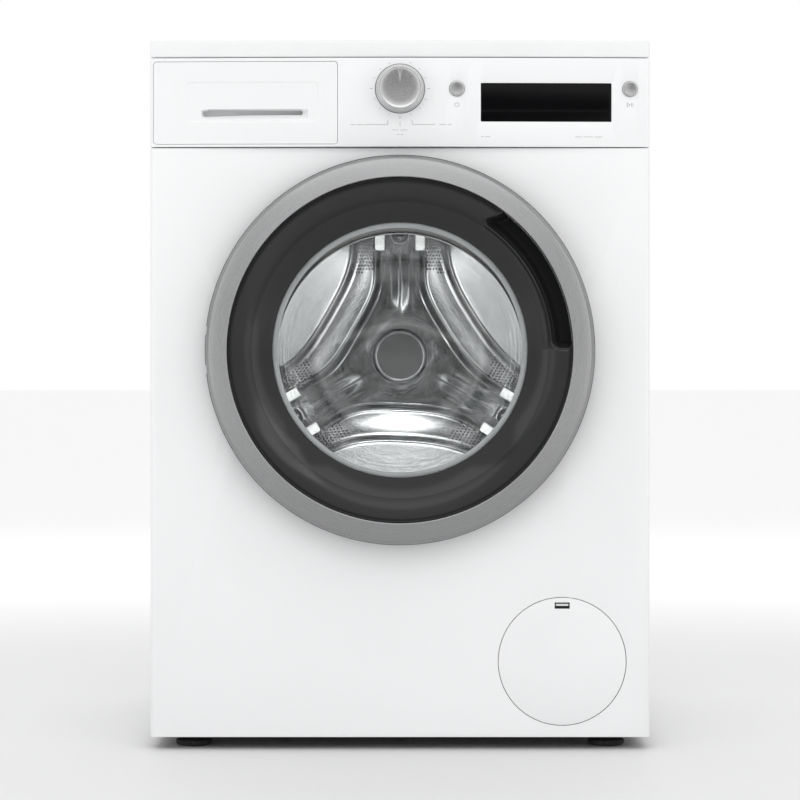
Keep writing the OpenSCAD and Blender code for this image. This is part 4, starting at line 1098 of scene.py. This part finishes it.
def side_panel(name, node, sign):
    """Side wall with a shallow pressed field that stiffens it, over folded edges."""
    low, high = box_mm(node)
    y0, y1, z0 = low.y, high.y, low.z
    z1 = SEAM_Z - 1.4
    cols, rows = 96, 124

    def place(i, j):
        y, z = mix(y0, y1, i / cols), mix(z0, z1, j / rows)
        d = frame_distance(y, z, (y0 + 62, z0 + 70), (y1 - 62, z1 - 60), 46)
        dip = 1.8 * smoothstep(7, -9, d)
        d2 = frame_distance(y, z, (y0 + 118, z0 + 150), (y1 - 118, z1 - 140), 70)
        dip -= 1.2 * smoothstep(6, -8, d2)
        return (sign * (HALF_W - dip), y, z)

    field = pressed_sheet("field", cols, rows, place, 0.9, (sign, 0, 0))
    x_in, x_out = sorted((sign * (HALF_W - 0.95), sign * HALF_W))
    above = block("above", (x_in, fascia_high.y + 0.5, z1 - 0.01), (x_out, y1, high.z))
    mid = centre_mm("suspension_springs").y
    parts = [above]
    for part, wide, low_y, high_y, low_z, high_z in (
            ("shelf", 51, mid - 18, mid + 18, 800, 802), ("fold", 13, y0, y0 + 1, z0, z1),
            ("fold", 18, y1 - 2.2, y1 - 1.2, z0, high.z)):
        x_in, x_out = sorted((sign * (HALF_W - wide), sign * (HALF_W - 0.9)))
        parts.append(block(part, (x_in, low_y, low_z), (x_out, high_y, high_z)))
    edges = [rounded(part, 0.35, 2) for part in parts]
    piece(join(name, [field] + edges), "cabinet", "enamel", node)


side_panel("side_wall_left", "side_panel_left", -1)
side_panel("side_wall_right", "side_panel_right", 1)

rear_low, rear_high = box_mm("rear_panel")
cover_low, cover_high = box_mm("rear_access_cover")
COVER = (cover_low.x + 14, cover_high.x - 14, cover_low.z + 14, cover_high.z - 14)
COVER_SCREWS = [(x, z) for x in (-162, 162) for z in (130, 290, 450, 600)]
EDGE_SCREWS = [(x, z) for x in (-285, 285) for z in (60, 300, 540, 780)]
TRANSIT = [(x, z) for x in (-205, 205) for z in (300, 620)]
gland = centre_mm("cable_gland")
INLET, GLAND, OUTLET = (centre_mm("inlet_valve").x, 788), (gland.x, gland.z), (235, 120)


def rear_dip(x, z):
    """How deep the rear panel is pressed in: swages up both sides and across the top."""
    dip = 0.0
    for x0 in (-262, 262):
        d = frame_distance(x, z, (x0 - 9, 175), (x0 + 9, 745), 9)
        dip = max(dip, 2.6 * smoothstep(2.5, -5, d))
    for z0 in (682, 720):
        d = frame_distance(x, z, (-150, z0 - 8), (150, z0 + 8), 8)
        dip = max(dip, 2.6 * smoothstep(2.5, -5, d))
    return dip


def rear_place(i, j):
    x, z = mix(rear_low.x, rear_high.x, i / 200), mix(rear_low.z, rear_high.z, j / 270)
    return (x, rear_high.y - rear_dip(x, z), z)


rear = pressed_sheet("rear_panel_pressed", 200, 270, rear_place, 0.9, (0, 1, 0))
THROUGH = (REAR_Y - 9, REAR_Y + 9)
holes = [prism("cut", round_rect(COVER[0], COVER[2], COVER[1], COVER[3], 60, 16), "Y", *THROUGH)]
for r, places in ((12.4, TRANSIT), (1.9, COVER_SCREWS + EDGE_SCREWS), (15, [INLET]), (9.2, [GLAND]),
                  (14, [OUTLET])):
    holes += [hole(r, x, z, *THROUGH) for x, z in places]
for k in range(6):
    for side in (-1, 1):
        x, z = side * 100 + (k - 2.5) * 14, 770
        holes.append(prism("cut", round_rect(x - 2, z - 16, x + 2, z + 16, 1.9, 4), "Y", *THROUGH))
piece(boolean(rear, holes, together=True), "cabinet", "galvanised", "rear_panel")


def cover_place(i, j):
    x, z = mix(cover_low.x, cover_high.x, i / 120), mix(cover_low.z, cover_high.z, j / 200)
    d = frame_distance(x, z, (COVER[0] + 8, COVER[2] + 8), (COVER[1] - 8, COVER[3] - 8), 54)
    rise = 13.0 * smoothstep(0.5, -13, d)
    inner = frame_distance(x, z, (COVER[0] + 44, COVER[2] + 44), (COVER[1] - 44, COVER[3] - 44), 34)
    rise -= 2.2 * smoothstep(3, -5, inner) * (1 - 0.8 * smoothstep(-14, -22, inner))
    for z0 in (250, 330, 410, 490):
        bar = frame_distance(x, z, (-74, z0 - 7), (74, z0 + 7), 7)
        rise += 1.6 * smoothstep(2, -4, bar)
    return (x, cover_low.y + 1 + min(rise, 13.0), z)


cover = pressed_sheet("rear_cover_pressed", 120, 200, cover_place, 0.9, (0, 1, 0))
trim = prism("keep", round_rect(cover_low.x, cover_low.z, cover_high.x, cover_high.z, 70, 16), "Y",
             REAR_Y - 5, REAR_Y + 30)
boolean(cover, [trim], "INTERSECT")
boolean(cover, [hole(1.9, x, z, *THROUGH, steps=24) for x, z in COVER_SCREWS])
piece(cover, "cabinet", "galvanised", "rear_access_cover")


def screw(x, z, seat):
    """Washer-head screw with a cross recess."""
    head = turned("screw", [(r, seat + d) for r, d in (
        (0.01, 0), (4.2, 0), (4.2, 0.7), (3.4, 0.9), (3.1, 1.9), (2.4, 2.35), (0.01, 2.4))], x, z, 32)
    turn = random.uniform(0, math.pi)
    bars = []
    for k in range(2):
        c, s = math.cos(turn + k * math.pi / 2), math.sin(turn + k * math.pi / 2)
        bar = ((-2, -0.35), (2, -0.35), (2, 0.35), (-2, 0.35))
        line = [(x + c * a - s * b, z + s * a + c * b) for a, b in bar]
        bars.append(prism("slot", line, "Y", seat + 1.2, seat + 3))
    return boolean(head, bars)


random.seed(7)
screws = [screw(x, z, REAR_Y + 1.0) for x, z in COVER_SCREWS]
screws += [screw(x, z, REAR_Y + 0.02) for x, z in EDGE_SCREWS]
piece(join("panel_screws_cross", screws), "cabinet", "machine_steel", "panel_screws")

caps = []
for x, z in TRANSIT:
    cap = turned("cap", [(r, REAR_Y + d) for r, d in (
        (0.01, -6), (11.8, -6), (12, 0.05), (16.4, 0.05), (17, 0.6), (16.8, 1.8), (15.6, 2.9), (12.4, 2.9),
        (11.4, 2.0), (0.01, 1.8))], x, z, 48)
    caps.append(boolean(cap, [block("cut", (x - 8, REAR_Y + 1.1, z - 1.2), (x + 8, REAR_Y + 4, z + 1.2))]))
piece(join("transit_caps_moulded", caps), "cabinet", "dark_plastic", "transit_caps")


# ---- Feet: ribbed rubber pad, hexagon and threaded stem ----

def thread(x, y, z0, z1, r):
    """Threaded rod with the pitch and depth of a 10 mm screw."""
    pitch, depth, steps = 1.75, 0.45, 24
    total = int((z1 - z0) / pitch * 4)
    rings = []
    for i in range(total + 1):
        z = mix(z0, z1, i / total)
        ring = []
        for k in range(steps):
            turn = TAU * k / steps
            rr = r - depth * abs(((z / pitch + k / steps) % 1) * 2 - 1)
            ring.append((x + rr * math.cos(turn), y + rr * math.sin(turn), z))
        rings.append(ring)
    return skin("thread", rings, 30, ends=True)


def foot(node):
    mid = centre_mm(node)
    x, y = mid.x, mid.y
    pad_profile = [(0.01, 0), (19.5, 0), (20.6, 0.6), (22, 2.2), (22, 3.2), (21.2, 3.8), (22, 4.4),
                   (22, 5.6), (20, 7.4), (13, 9.2), (9, 10), (0.01, 10)]
    sole = turned(node + "_pad", pad_profile, x, y, 64, "Z")
    flutes = [turned("flute", [(0.01, -1), (1.6, -1), (1.6, 6.2), (0.01, 6.2)],
                     x + 22.8 * math.cos(TAU * k / 16), y + 22.8 * math.sin(TAU * k / 16), 12, "Z")
              for k in range(16)]
    piece(boolean(sole, flutes, together=True), node, "black_rubber", node)
    hexagon = rounded(prism("hex", disc(9.6, x, y, 6), "Z", 9.6, 14.6), 0.5, 2)
    piece(join(node + "_stem", [hexagon, thread(x, y, 14, 44.5, 5)]), node, "machine_steel")


for corner in ("front_left", "front_right", "rear_left", "rear_right"):
    foot("foot_" + corner)


# ---- Fascia ----

drawer_low, drawer_high = box_mm("drawer_front")
display_low, display_high = box_mm("display_window")
knob_low, knob_high = box_mm("program_knob")
CONTROL_Z = (knob_low.z + knob_high.z) / 2
KNOB_R = (knob_high.x - knob_low.x) / 2
BUTTONS = {name: centre_mm(name) for name in ("power_button", "start_button")}
BACK = fascia_high.y


def fascia_shell():
    outer = prism("fascia_face", bowed_outline(-HALF_W, HALF_W, BACK, corner=3.5), "Z", fascia_low.z,
                  fascia_high.z)
    rounded(outer, 0.8, 3, 50)
    hollow = prism("hollow", bowed_outline(-HALF_W + 3, HALF_W - 3, BACK + 2, 3.0), "Z", fascia_low.z + 2.5,
                   fascia_high.z - 2.5)
    cut_y = fascia_low.y - 6
    cutters = [prism("cut", round_rect(drawer_low.x - 0.5, drawer_low.z - 0.5, drawer_high.x + 0.5,
                                       drawer_high.z + 0.5, 4.5), "Y", cut_y, FRONT_Y + 14),
               prism("cut", round_rect(display_low.x - 0.3, display_low.z - 0.3, display_high.x + 0.3,
                                       display_high.z + 0.3, 1.2), "Y", cut_y, FRONT_Y + 6),
               hole(4.3, 0, CONTROL_Z, cut_y, FRONT_Y + 6, 40)]
    cutters += [hole(9.4, mid.x, CONTROL_Z, cut_y, FRONT_Y + 6, 64) for mid in BUTTONS.values()]
    boolean(outer, [hollow])
    return boolean(outer, cutters, together=True)


fascia = fascia_shell()
rounded(fascia, 0.35, 2, 60)
piece(fascia, "cabinet", "fascia_plastic", "control_fascia")

window = prism("window", bowed_outline(display_low.x, display_high.x, display_high.y, 0.15), "Z",
               display_low.z, display_high.z)
piece(rounded(window, 0.45, 3), "cabinet", "display_glass", "display_window")


def marks(name, segments, width):
    """Thin printed strokes that lie on the bowed face; each is a pair of points across and up."""
    verts, faces = [], []
    for (xa, za), (xb, zb) in segments:
        dx, dz = xb - xa, zb - za
        size = math.hypot(dx, dz)
        ox, oz = -dz / size * width / 2, dx / size * width / 2
        steps = max(int(size / 3), 1)
        base = len(verts)
        for i in range(steps + 1):
            x, z = xa + dx * i / steps, za + dz * i / steps
            for side in (1, -1):
                for lift in (0.07, 0.01):
                    px = x + side * ox
                    verts.append((px, bow_y(px) - lift, z + side * oz))
        for i in range(steps):
            a, b = base + 4 * i, base + 4 * i + 4
            for p, q in ((0, 2), (2, 3), (3, 1), (1, 0)):
                faces.append((a + p, a + q, b + q, b + p))
        faces += [(base, base + 1, base + 3, base + 2),
                  tuple(base + 4 * steps + k for k in (0, 2, 3, 1))]
    return mesh_object(name, verts, faces, 30)


def ring_segments(x, z, r, a0, a1, steps):
    points = [(x + r * math.cos(math.radians(mix(a0, a1, i / steps))),
               z + r * math.sin(math.radians(mix(a0, a1, i / steps)))) for i in range(steps + 1)]
    return list(zip(points, points[1:]))


# Programme positions round the knob: a dot-like tick each, with leader lines, and no words
ticks = []
for k in range(16):
    turn = math.radians(90 + 360 * k / 16)
    c, s = math.cos(turn), math.sin(turn)
    r0, r1 = KNOB_R + 3.4, KNOB_R + (7.2 if k % 4 == 0 else 5.2)
    if CONTROL_Z + r1 * s < fascia_high.z - 1:
        ticks.append(((r0 * c, CONTROL_Z + r0 * s), (r1 * c, CONTROL_Z + r1 * s)))
for side in (-1, 1):
    ticks += [((side * 14.5, 752.6), (side * 14.5, 747.0)), ((side * 14.5, 747.0), (side * 42, 747.0))]
ticks.append(((0, 750.5), (0, 744.5)))
# Short generic dashes where the front has small print
for x0, z0, widths in ((-59, 747.0, (5, 9, 6)), (47, 747.0, (8, 5)), (-9, 740.6, (7, 9)),
                       (-3.4, 735.0, (2.6, 2.6)), (97, 732.6, (3, 6)), (209, 732.6, (8, 12, 9))):
    x = x0
    for width in widths:
        ticks.append(((x, z0), (x + width, z0)))
        x += width + 1.8
piece(marks("printed_marks", ticks, 0.42), "cabinet", "mark_grey")
symbols = ring_segments(BUTTONS["power_button"].x, CONTROL_Z - 19, 2.6, -240, 60, 20)
symbols += [((BUTTONS["power_button"].x, CONTROL_Z - 18.4), (BUTTONS["power_button"].x, CONTROL_Z - 15.6))]
sx, sz = BUTTONS["start_button"].x, CONTROL_Z - 19
symbols += [((sx - 3.4, sz - 2.2), (sx - 3.4, sz + 2.2)), ((sx - 3.4, sz + 2.2), (sx + 0.2, sz)),
            ((sx + 0.2, sz), (sx - 3.4, sz - 2.2)), ((sx + 1.8, sz - 2.2), (sx + 1.8, sz + 2.2)),
            ((sx + 3.6, sz - 2.2), (sx + 3.6, sz + 2.2))]
piece(marks("button_symbols", symbols, 0.5), "cabinet", "mark_grey")


# ---- Detergent drawer ----

GRIP = (drawer_low.x + 40, drawer_high.x - 23, drawer_low.z + 26.3, drawer_low.z + 74)
SLOT = (GRIP[0] + 24, GRIP[1] - 19, GRIP[2] + 8.8, GRIP[2] + 15.0)


def drawer_dip(x, z):
    """How far the drawer's face is let in: an inset panel, a scoop below and a finger slot over it."""
    panel = frame_distance(x, z, (GRIP[0], GRIP[2]), (GRIP[1], GRIP[3]), 3.5)
    dip = 0.9 * smoothstep(0.35, -0.9, panel)
    scoop = frame_distance(x, z, (SLOT[0] - 7, GRIP[2] + 1.4), (SLOT[1] + 7, SLOT[3]), 3.0)
    rise = smoothstep(GRIP[2] + 1.4, SLOT[2] + 1.5, z)
    dip += 7.0 * rise * smoothstep(0.0, -3.5, scoop)
    slot = frame_distance(x, z, (SLOT[0], SLOT[2]), (SLOT[1], SLOT[3]), 1.6)
    return dip + 5.5 * smoothstep(0.3, -0.8, slot)


def drawer_face():
    low, high = drawer_low, drawer_high
    xs = sorted(set([low.x - 1, high.x + 1] + [round(low.x + 2.2 * i, 3) for i in range(101)]
                    + [round(edge + 0.45 * k, 3) for edge in (GRIP[0], GRIP[1], SLOT[0], SLOT[1])
                       for k in range(-5, 6)]))
    zs = sorted(set([low.z - 1, high.z + 1] + [round(low.z + 2.4 * i, 3) for i in range(41)]
                    + [round(edge + 0.45 * k, 3) for edge in (GRIP[2], GRIP[3], SLOT[2], SLOT[3])
                       for k in range(-5, 6)]))
    cols, rows = len(xs), len(zs)
    verts = [(x, bow_y(x) + drawer_dip(x, z), z) for z in zs for x in xs]
    verts += [(x, low.y + 30, z) for z in zs for x in xs]
    n = cols * rows
    faces = []
    for j in range(rows - 1):
        for i in range(cols - 1):
            a = j * cols + i
            quad = (a, a + 1, a + cols + 1, a + cols)
            faces += [quad, tuple(n + k for k in quad[::-1])]
    for i in range(cols - 1):
        for j in (0, rows - 1):
            a = j * cols + i
            faces.append((a, a + 1, n + a + 1, n + a))
    for j in range(rows - 1):
        for i in (0, cols - 1):
            a = j * cols + i
            faces.append((a, a + cols, n + a + cols, n + a))
    body = mesh_object("drawer_face_moulded", verts, faces, 40)
    keep = prism("keep", round_rect(low.x, low.z, high.x, high.z, 4.0), "Y", low.y - 5, high.y)
    boolean(body, [keep], "INTERSECT")
    # Room for the fingers behind the bar over the slot
    room = block("room", (SLOT[0] - 5, FRONT_Y + 2, GRIP[2] + 4), (SLOT[1] + 5, FRONT_Y + 11, SLOT[3] + 42))
    return boolean(body, [room])


face = drawer_face()
piece(face, "drawer", "fascia_plastic", "drawer_front")
piece(refined("drawer_tray_moulded", "drawer_tray", 0.7, 2), "drawer", "tray_plastic", "drawer_tray")


# ---- Knob and buttons ----

def knob_mesh():
    """Ribbed knob with a dished face and a pointer groove."""
    ribs, per = 60, 6
    steps = ribs * per
    front = knob_low.y
    skirt = fascia_low.y - 0.6
    rows = [(0.01, front + 1.5, 0), (8, front + 1.35, 0), (16, front + 1.05, 0), (21.5, front + 0.8, 0),
            (23.2, front + 0.35, 0), (24.0, front, 0), (25.0, front, 0), (26.0, front + 0.5, 0),
            (26.8, front + 1.6, 0.3), (27.2, front + 3.0, 0.55), (27.7, skirt - 3.4, 0.55),
            (27.9, skirt - 2.6, 0.2), (28.4, skirt - 2.2, 0), (KNOB_R, skirt - 1.8, 0),
            (KNOB_R, skirt - 0.2, 0), (KNOB_R - 0.3, skirt, 0), (0.01, skirt, 0)]
    rings = []
    for i in range(steps):
        turn = TAU * i / steps
        wave = 0.5 - 0.5 * math.cos(TAU * i / per)
        ring = []
        for r, y, rib in rows:
            rr = r - rib * wave
            x, z = rr * math.cos(turn), rr * math.sin(turn)
            groove = smoothstep(1.5, 0.7, abs(x)) * smoothstep(12.5, 13.5, z) * (1 if r < 26.5 else 0)
            ring.append((x, y + 0.9 * groove, CONTROL_Z + z))
        rings.append(ring)
    return skin("program_knob_ribbed", rings, 35, around=True, closed=False)


knob = join("program_knob_ribbed", [knob_mesh(), turned("stem", [
    (0.01, fascia_low.y - 1), (4, fascia_low.y - 1), (4, knob_high.y - 0.6), (3.4, knob_high.y),
    (0.01, knob_high.y)], 0, CONTROL_Z, 48)])
# Dark ring round the knob's foot: painted shadow, a thin dark line where the knob's base is in shade
knob_shadow_ring = turned("knob_painted_shadow_ring", [(KNOB_R + r, fascia_low.y + d) for r, d in (
    (-4, 0.3), (-4, -0.2), (0.6, -0.2), (0.9, 0.1), (0.9, 0.3))], 0, CONTROL_Z, 96)
piece(knob_shadow_ring, "cabinet", "dark_plastic")
brushed_round("knob_metal", (0.6, 0.6, 0.605), 0.3, (0, 0, CONTROL_Z * MM), 2400.0, 0.04, 0.15)
piece(knob, "knob", "knob_metal", "program_knob")

for name, mid in BUTTONS.items():
    low, high = box_mm(name)
    face_y = low.y
    cap = turned(name + "_cap", [
        (0.01, face_y + 0.55), (4, face_y + 0.42), (6.8, face_y + 0.1), (7.6, face_y), (8.3, face_y + 0.15),
        (8.85, face_y + 0.8), (9, face_y + 1.7), (9, face_y + 8), (4, face_y + 8), (4, high.y),
        (0.01, high.y)], mid.x, CONTROL_Z, 64)
    brushed_round(name + "_metal", (0.62, 0.62, 0.625), 0.3, (mid.x * MM, 0, CONTROL_Z * MM), 3000.0, 0.03,
                  0.12)
    piece(cap, name, name + "_metal", name)


# ---- Service flap ----

flap_low, flap_high = box_mm("service_flap")
FLAP_X, FLAP_Z = (flap_low.x + flap_high.x) / 2, (flap_low.z + flap_high.z) / 2
FLAP_R = (flap_high.x - flap_low.x) / 2
plate = turned("flap_plate", [
    (0.01, FRONT_Y), (FLAP_R - 0.8, FRONT_Y), (FLAP_R - 0.2, FRONT_Y + 0.25), (FLAP_R, FRONT_Y + 0.9),
    (FLAP_R, FRONT_Y + 2.6), (FLAP_R - 0.5, FRONT_Y + 3), (FLAP_R - 4, FRONT_Y + 3),
    (FLAP_R - 4, FRONT_Y + 5.8), (FLAP_R - 6, FRONT_Y + 5.8), (FLAP_R - 6, FRONT_Y + 3),
    (0.01, FRONT_Y + 3)], FLAP_X, FLAP_Z, 192)
CATCH = (FLAP_X - 9, FLAP_X + 9, FLAP_Z + 63, FLAP_Z + 70.5)
boolean(plate, [block("cut", (CATCH[0], FRONT_Y - 1, CATCH[2]), (CATCH[1], FRONT_Y + 7, CATCH[3])),
                block("cut", (FLAP_X - 80, FRONT_Y + 2.95, 0), (FLAP_X + 80, FRONT_Y + 7, FLAP_Z - 59))],
        together=True)
piece(plate, "flap", "enamel", "service_flap")
# Near-black pocket round the catch: painted shade inside the recess behind the flap's cut
frame_out = round_rect(CATCH[0] + 0.05, CATCH[2] + 0.05, CATCH[1] - 0.05, CATCH[3] - 0.05, 0.6, 3)
catch_shade_pocket = prism("catch_shade_pocket", frame_out, "Y", FRONT_Y + 0.2, FRONT_Y + 5.6)
boolean(catch_shade_pocket, [block("cut", (CATCH[0] + 1.0, FRONT_Y - 1, CATCH[2] + 0.8),
                            (CATCH[1] - 1.0, FRONT_Y + 4.6, CATCH[3] - 1.4))])
piece(catch_shade_pocket, "flap", "recess_dark")
tongue = prism("catch_tongue", round_rect(CATCH[0] + 1.5, CATCH[3] - 4.2, CATCH[1] - 1.5,
                                          CATCH[3] - 1.7, 0.5, 3), "Y", FRONT_Y + 0.5, FRONT_Y + 4.4)
piece(rounded(tongue, 0.25, 2), "flap", "light_plastic")


# ---- Hoses and springs ----

def bezier(a, b, c, d, count):
    a, b, c, d = (Vector(p) for p in (a, b, c, d))
    out = []
    for i in range(count + 1):
        t = i / count
        s = 1 - t
        out.append(a * s ** 3 + b * 3 * s * s * t + c * 3 * s * t * t + d * t ** 3)
    return out


def even(path, step):
    """The same path with points a fixed distance apart."""
    out, left = [path[0]], step
    for p, q in zip(path, path[1:]):
        run = (q - p).length
        while run > left:
            p = p + (q - p) * (left / run)
            out.append(p)
            run = (q - p).length
            left = step
        left -= run
    return out + [path[-1]]


def tube(name, path, radius, sides=24, wall=0.0):
    """Rod or pipe along a path. radius(s, length) is the outer radius at a distance s along it."""
    far = [0.0]
    for p, q in zip(path, path[1:]):
        far.append(far[-1] + (q - p).length)
    heading = (path[1] - path[0]).normalized()
    side = heading.orthogonal().normalized()
    outer, inner = [], []
    for i, p in enumerate(path):
        ahead = (path[min(i + 1, len(path) - 1)] - path[max(i - 1, 0)]).normalized()
        side = (side - ahead * side.dot(ahead)).normalized()
        other = ahead.cross(side)
        r = radius(far[i], far[-1])
        for rings, rr in ((outer, r), (inner, r - wall)):
            turns = [TAU * k / sides for k in range(sides)]
            rings.append([tuple(p + side * rr * math.cos(a) + other * rr * math.sin(a)) for a in turns])
    if wall:
        return skin(name, outer + inner[::-1], 60, around=True)
    return skin(name, outer, 60, ends=True)


def folds(big, small, pitch, cuff):
    """Radius of a bellows hose with a plain cuff at each end."""
    def radius(s, length):
        inside = smoothstep(cuff - 1.5, cuff + 1.5, s) * smoothstep(cuff - 1.5, cuff + 1.5, length - s)
        wave = 0.5 + 0.5 * math.cos(TAU * (s - cuff) / pitch)
        return mix(big - 0.4, small + (big - small) * wave, inside)
    return radius


def clamp_band(name, at, along, r):
    """Wire clamp round a hose end, with its two small tails."""
    along = Vector(along).normalized()
    side = along.orthogonal().normalized()
    other = along.cross(side)
    ring = [Vector(at) + side * r * math.cos(TAU * k / 40) + other * r * math.sin(TAU * k / 40)
            for k in range(37)]
    tail = ring[0] + side * 5 - other * 1.0
    path = [tail] + ring + [ring[-1] + side * 5 + other * 1.0]
    piece(tube(name, path, lambda s, length: 1.0, 8), "cabinet", "machine_steel")


for sign, word in ((-1, "left"), (1, "right")):
    foot = Vector((sign * 225, 95, 648))
    top = Vector((sign * 258, 95, 782))
    up = (top - foot).normalized()
    side = up.orthogonal().normalized()
    other = up.cross(side)
    length = (top - foot).length
    turns = 26
    path = [foot - up * 21, foot - up * 10]
    for i in range(turns * 14 + 1):
        t = i / (turns * 14)
        r = 10.3 * smoothstep(0, 0.045, t) * smoothstep(0, 0.045, 1 - t)
        a = TAU * turns * t
        path.append(foot + up * (length * t) + side * r * math.cos(a) + other * r * math.sin(a))
    path += [top + up * 8, top + up * 15.5]
    bends(tube("spring_" + word, path, lambda s, whole: 1.5, 8), "machine_steel",
          top, foot, "suspension_springs")

drop_low, drop_high = box_mm("dispenser_hose")
drop = centre_mm("dispenser_hose")
fall = [Vector((drop.x, drop.y, mix(drop_high.z, drop_low.z, i / 90))) for i in range(91)]
bends(tube("dispenser_bellows", fall, folds(20.9, 18.2, 7.0, 7.0), 48, 2.0), "grey_rubber",
      (drop.x, drop.y, drop_high.z - 6), (drop.x, drop.y, drop_low.z + 6), "dispenser_hose")

sump_low, sump_high = box_mm("sump_hose")
stub = Vector((150, -165, sump_high.z))
pump_in = Vector((sump_high.x - 21, -185, sump_low.z))
down = Vector((0, 0, 30))
bends(tube("sump_bellows", even(bezier(pump_in, pump_in + down, stub - down, stub, 60), 0.8),
           folds(20.9, 18.0, 6.5, 13.0), 48, 2.2), "grey_rubber",
      tuple(pump_in + Vector((0, 0, 10))), tuple(stub - Vector((0, 0, 10))), "sump_hose")
clamp_band("sump_clamp_low", pump_in + Vector((0, 0, 7)), (0, 0, 1), 21.6)

drain_low, drain_high = box_mm("drain_hose")
outlet = Vector((235, REAR_Y - 8, 120))
run = bezier((drain_low.x, -140, 105.5), (drain_low.x + 22, -140, 105.5), (272, -80, 74), (272, 20, 70), 40)
run += bezier((272, 20, 70), (272, 120, 66), (235, REAR_Y - 98, 120), outlet, 40)[1:]
piece(tube("drain_hose_ribbed", even(run, 1.0), folds(10.9, 9.6, 5.0, 16.0)), "cabinet", "grey_rubber",
      "drain_hose")
spigot = turned("drain_spigot", [
    (8, outlet.y + 9), (8, drain_high.y - 0.8), (8.6, drain_high.y), (9.6, drain_high.y),
    (10.4, drain_high.y - 1.4), (10.5, drain_high.y - 3), (9.7, drain_high.y - 4.2),
    (9.7, drain_high.y - 8), (10.4, drain_high.y - 9.4),
    (10.4, outlet.y + 8), (12.9, outlet.y + 7.4), (12.9, outlet.y - 0.6), (8, outlet.y - 0.6)],
    outlet.x, outlet.z, 64)
piece(spigot, "cabinet", "dark_plastic")
clamp_band("drain_clamp", (drain_low.x + 7, -140, 105.5), (1, 0, 0), 11.6)


# ---- The rest of the parts, welded smooth and with their edges rounded ----

EDGE = {
    "front_counterweight": 2.5, "top_counterweight": 3.0, "tub_rear": 1.2, "tub_front": 1.0,
    "drum_bearings": 0.4, "drive_belt": 0.3, "drum_spider": 2.0, "drum_pulley": 0.8, "motor_pulley": 0.4,
    "motor_housing": 1.5, "control_board": 0.2, "heating_element": 0.3, "pump_filter": 0.9,
}


def slot_name(node):
    return NODES[node].material_slots[0].material.name.split(".")[0]


for node in sorted(NODES):
    if not NODES[node].hide_render:
        piece(refined(node + "_finished", node, EDGE.get(node, 0.5)), NODES[node]["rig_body"],
              slot_name(node), node)


# ---- CAD nodes that stay, with their finishes ----

for obj in NODES.values():
    for entry in obj.material_slots:
        entry.material = LOOKS[entry.material.name.split(".")[0]]
    for polygon in obj.data.polygons:
        polygon.use_smooth = False
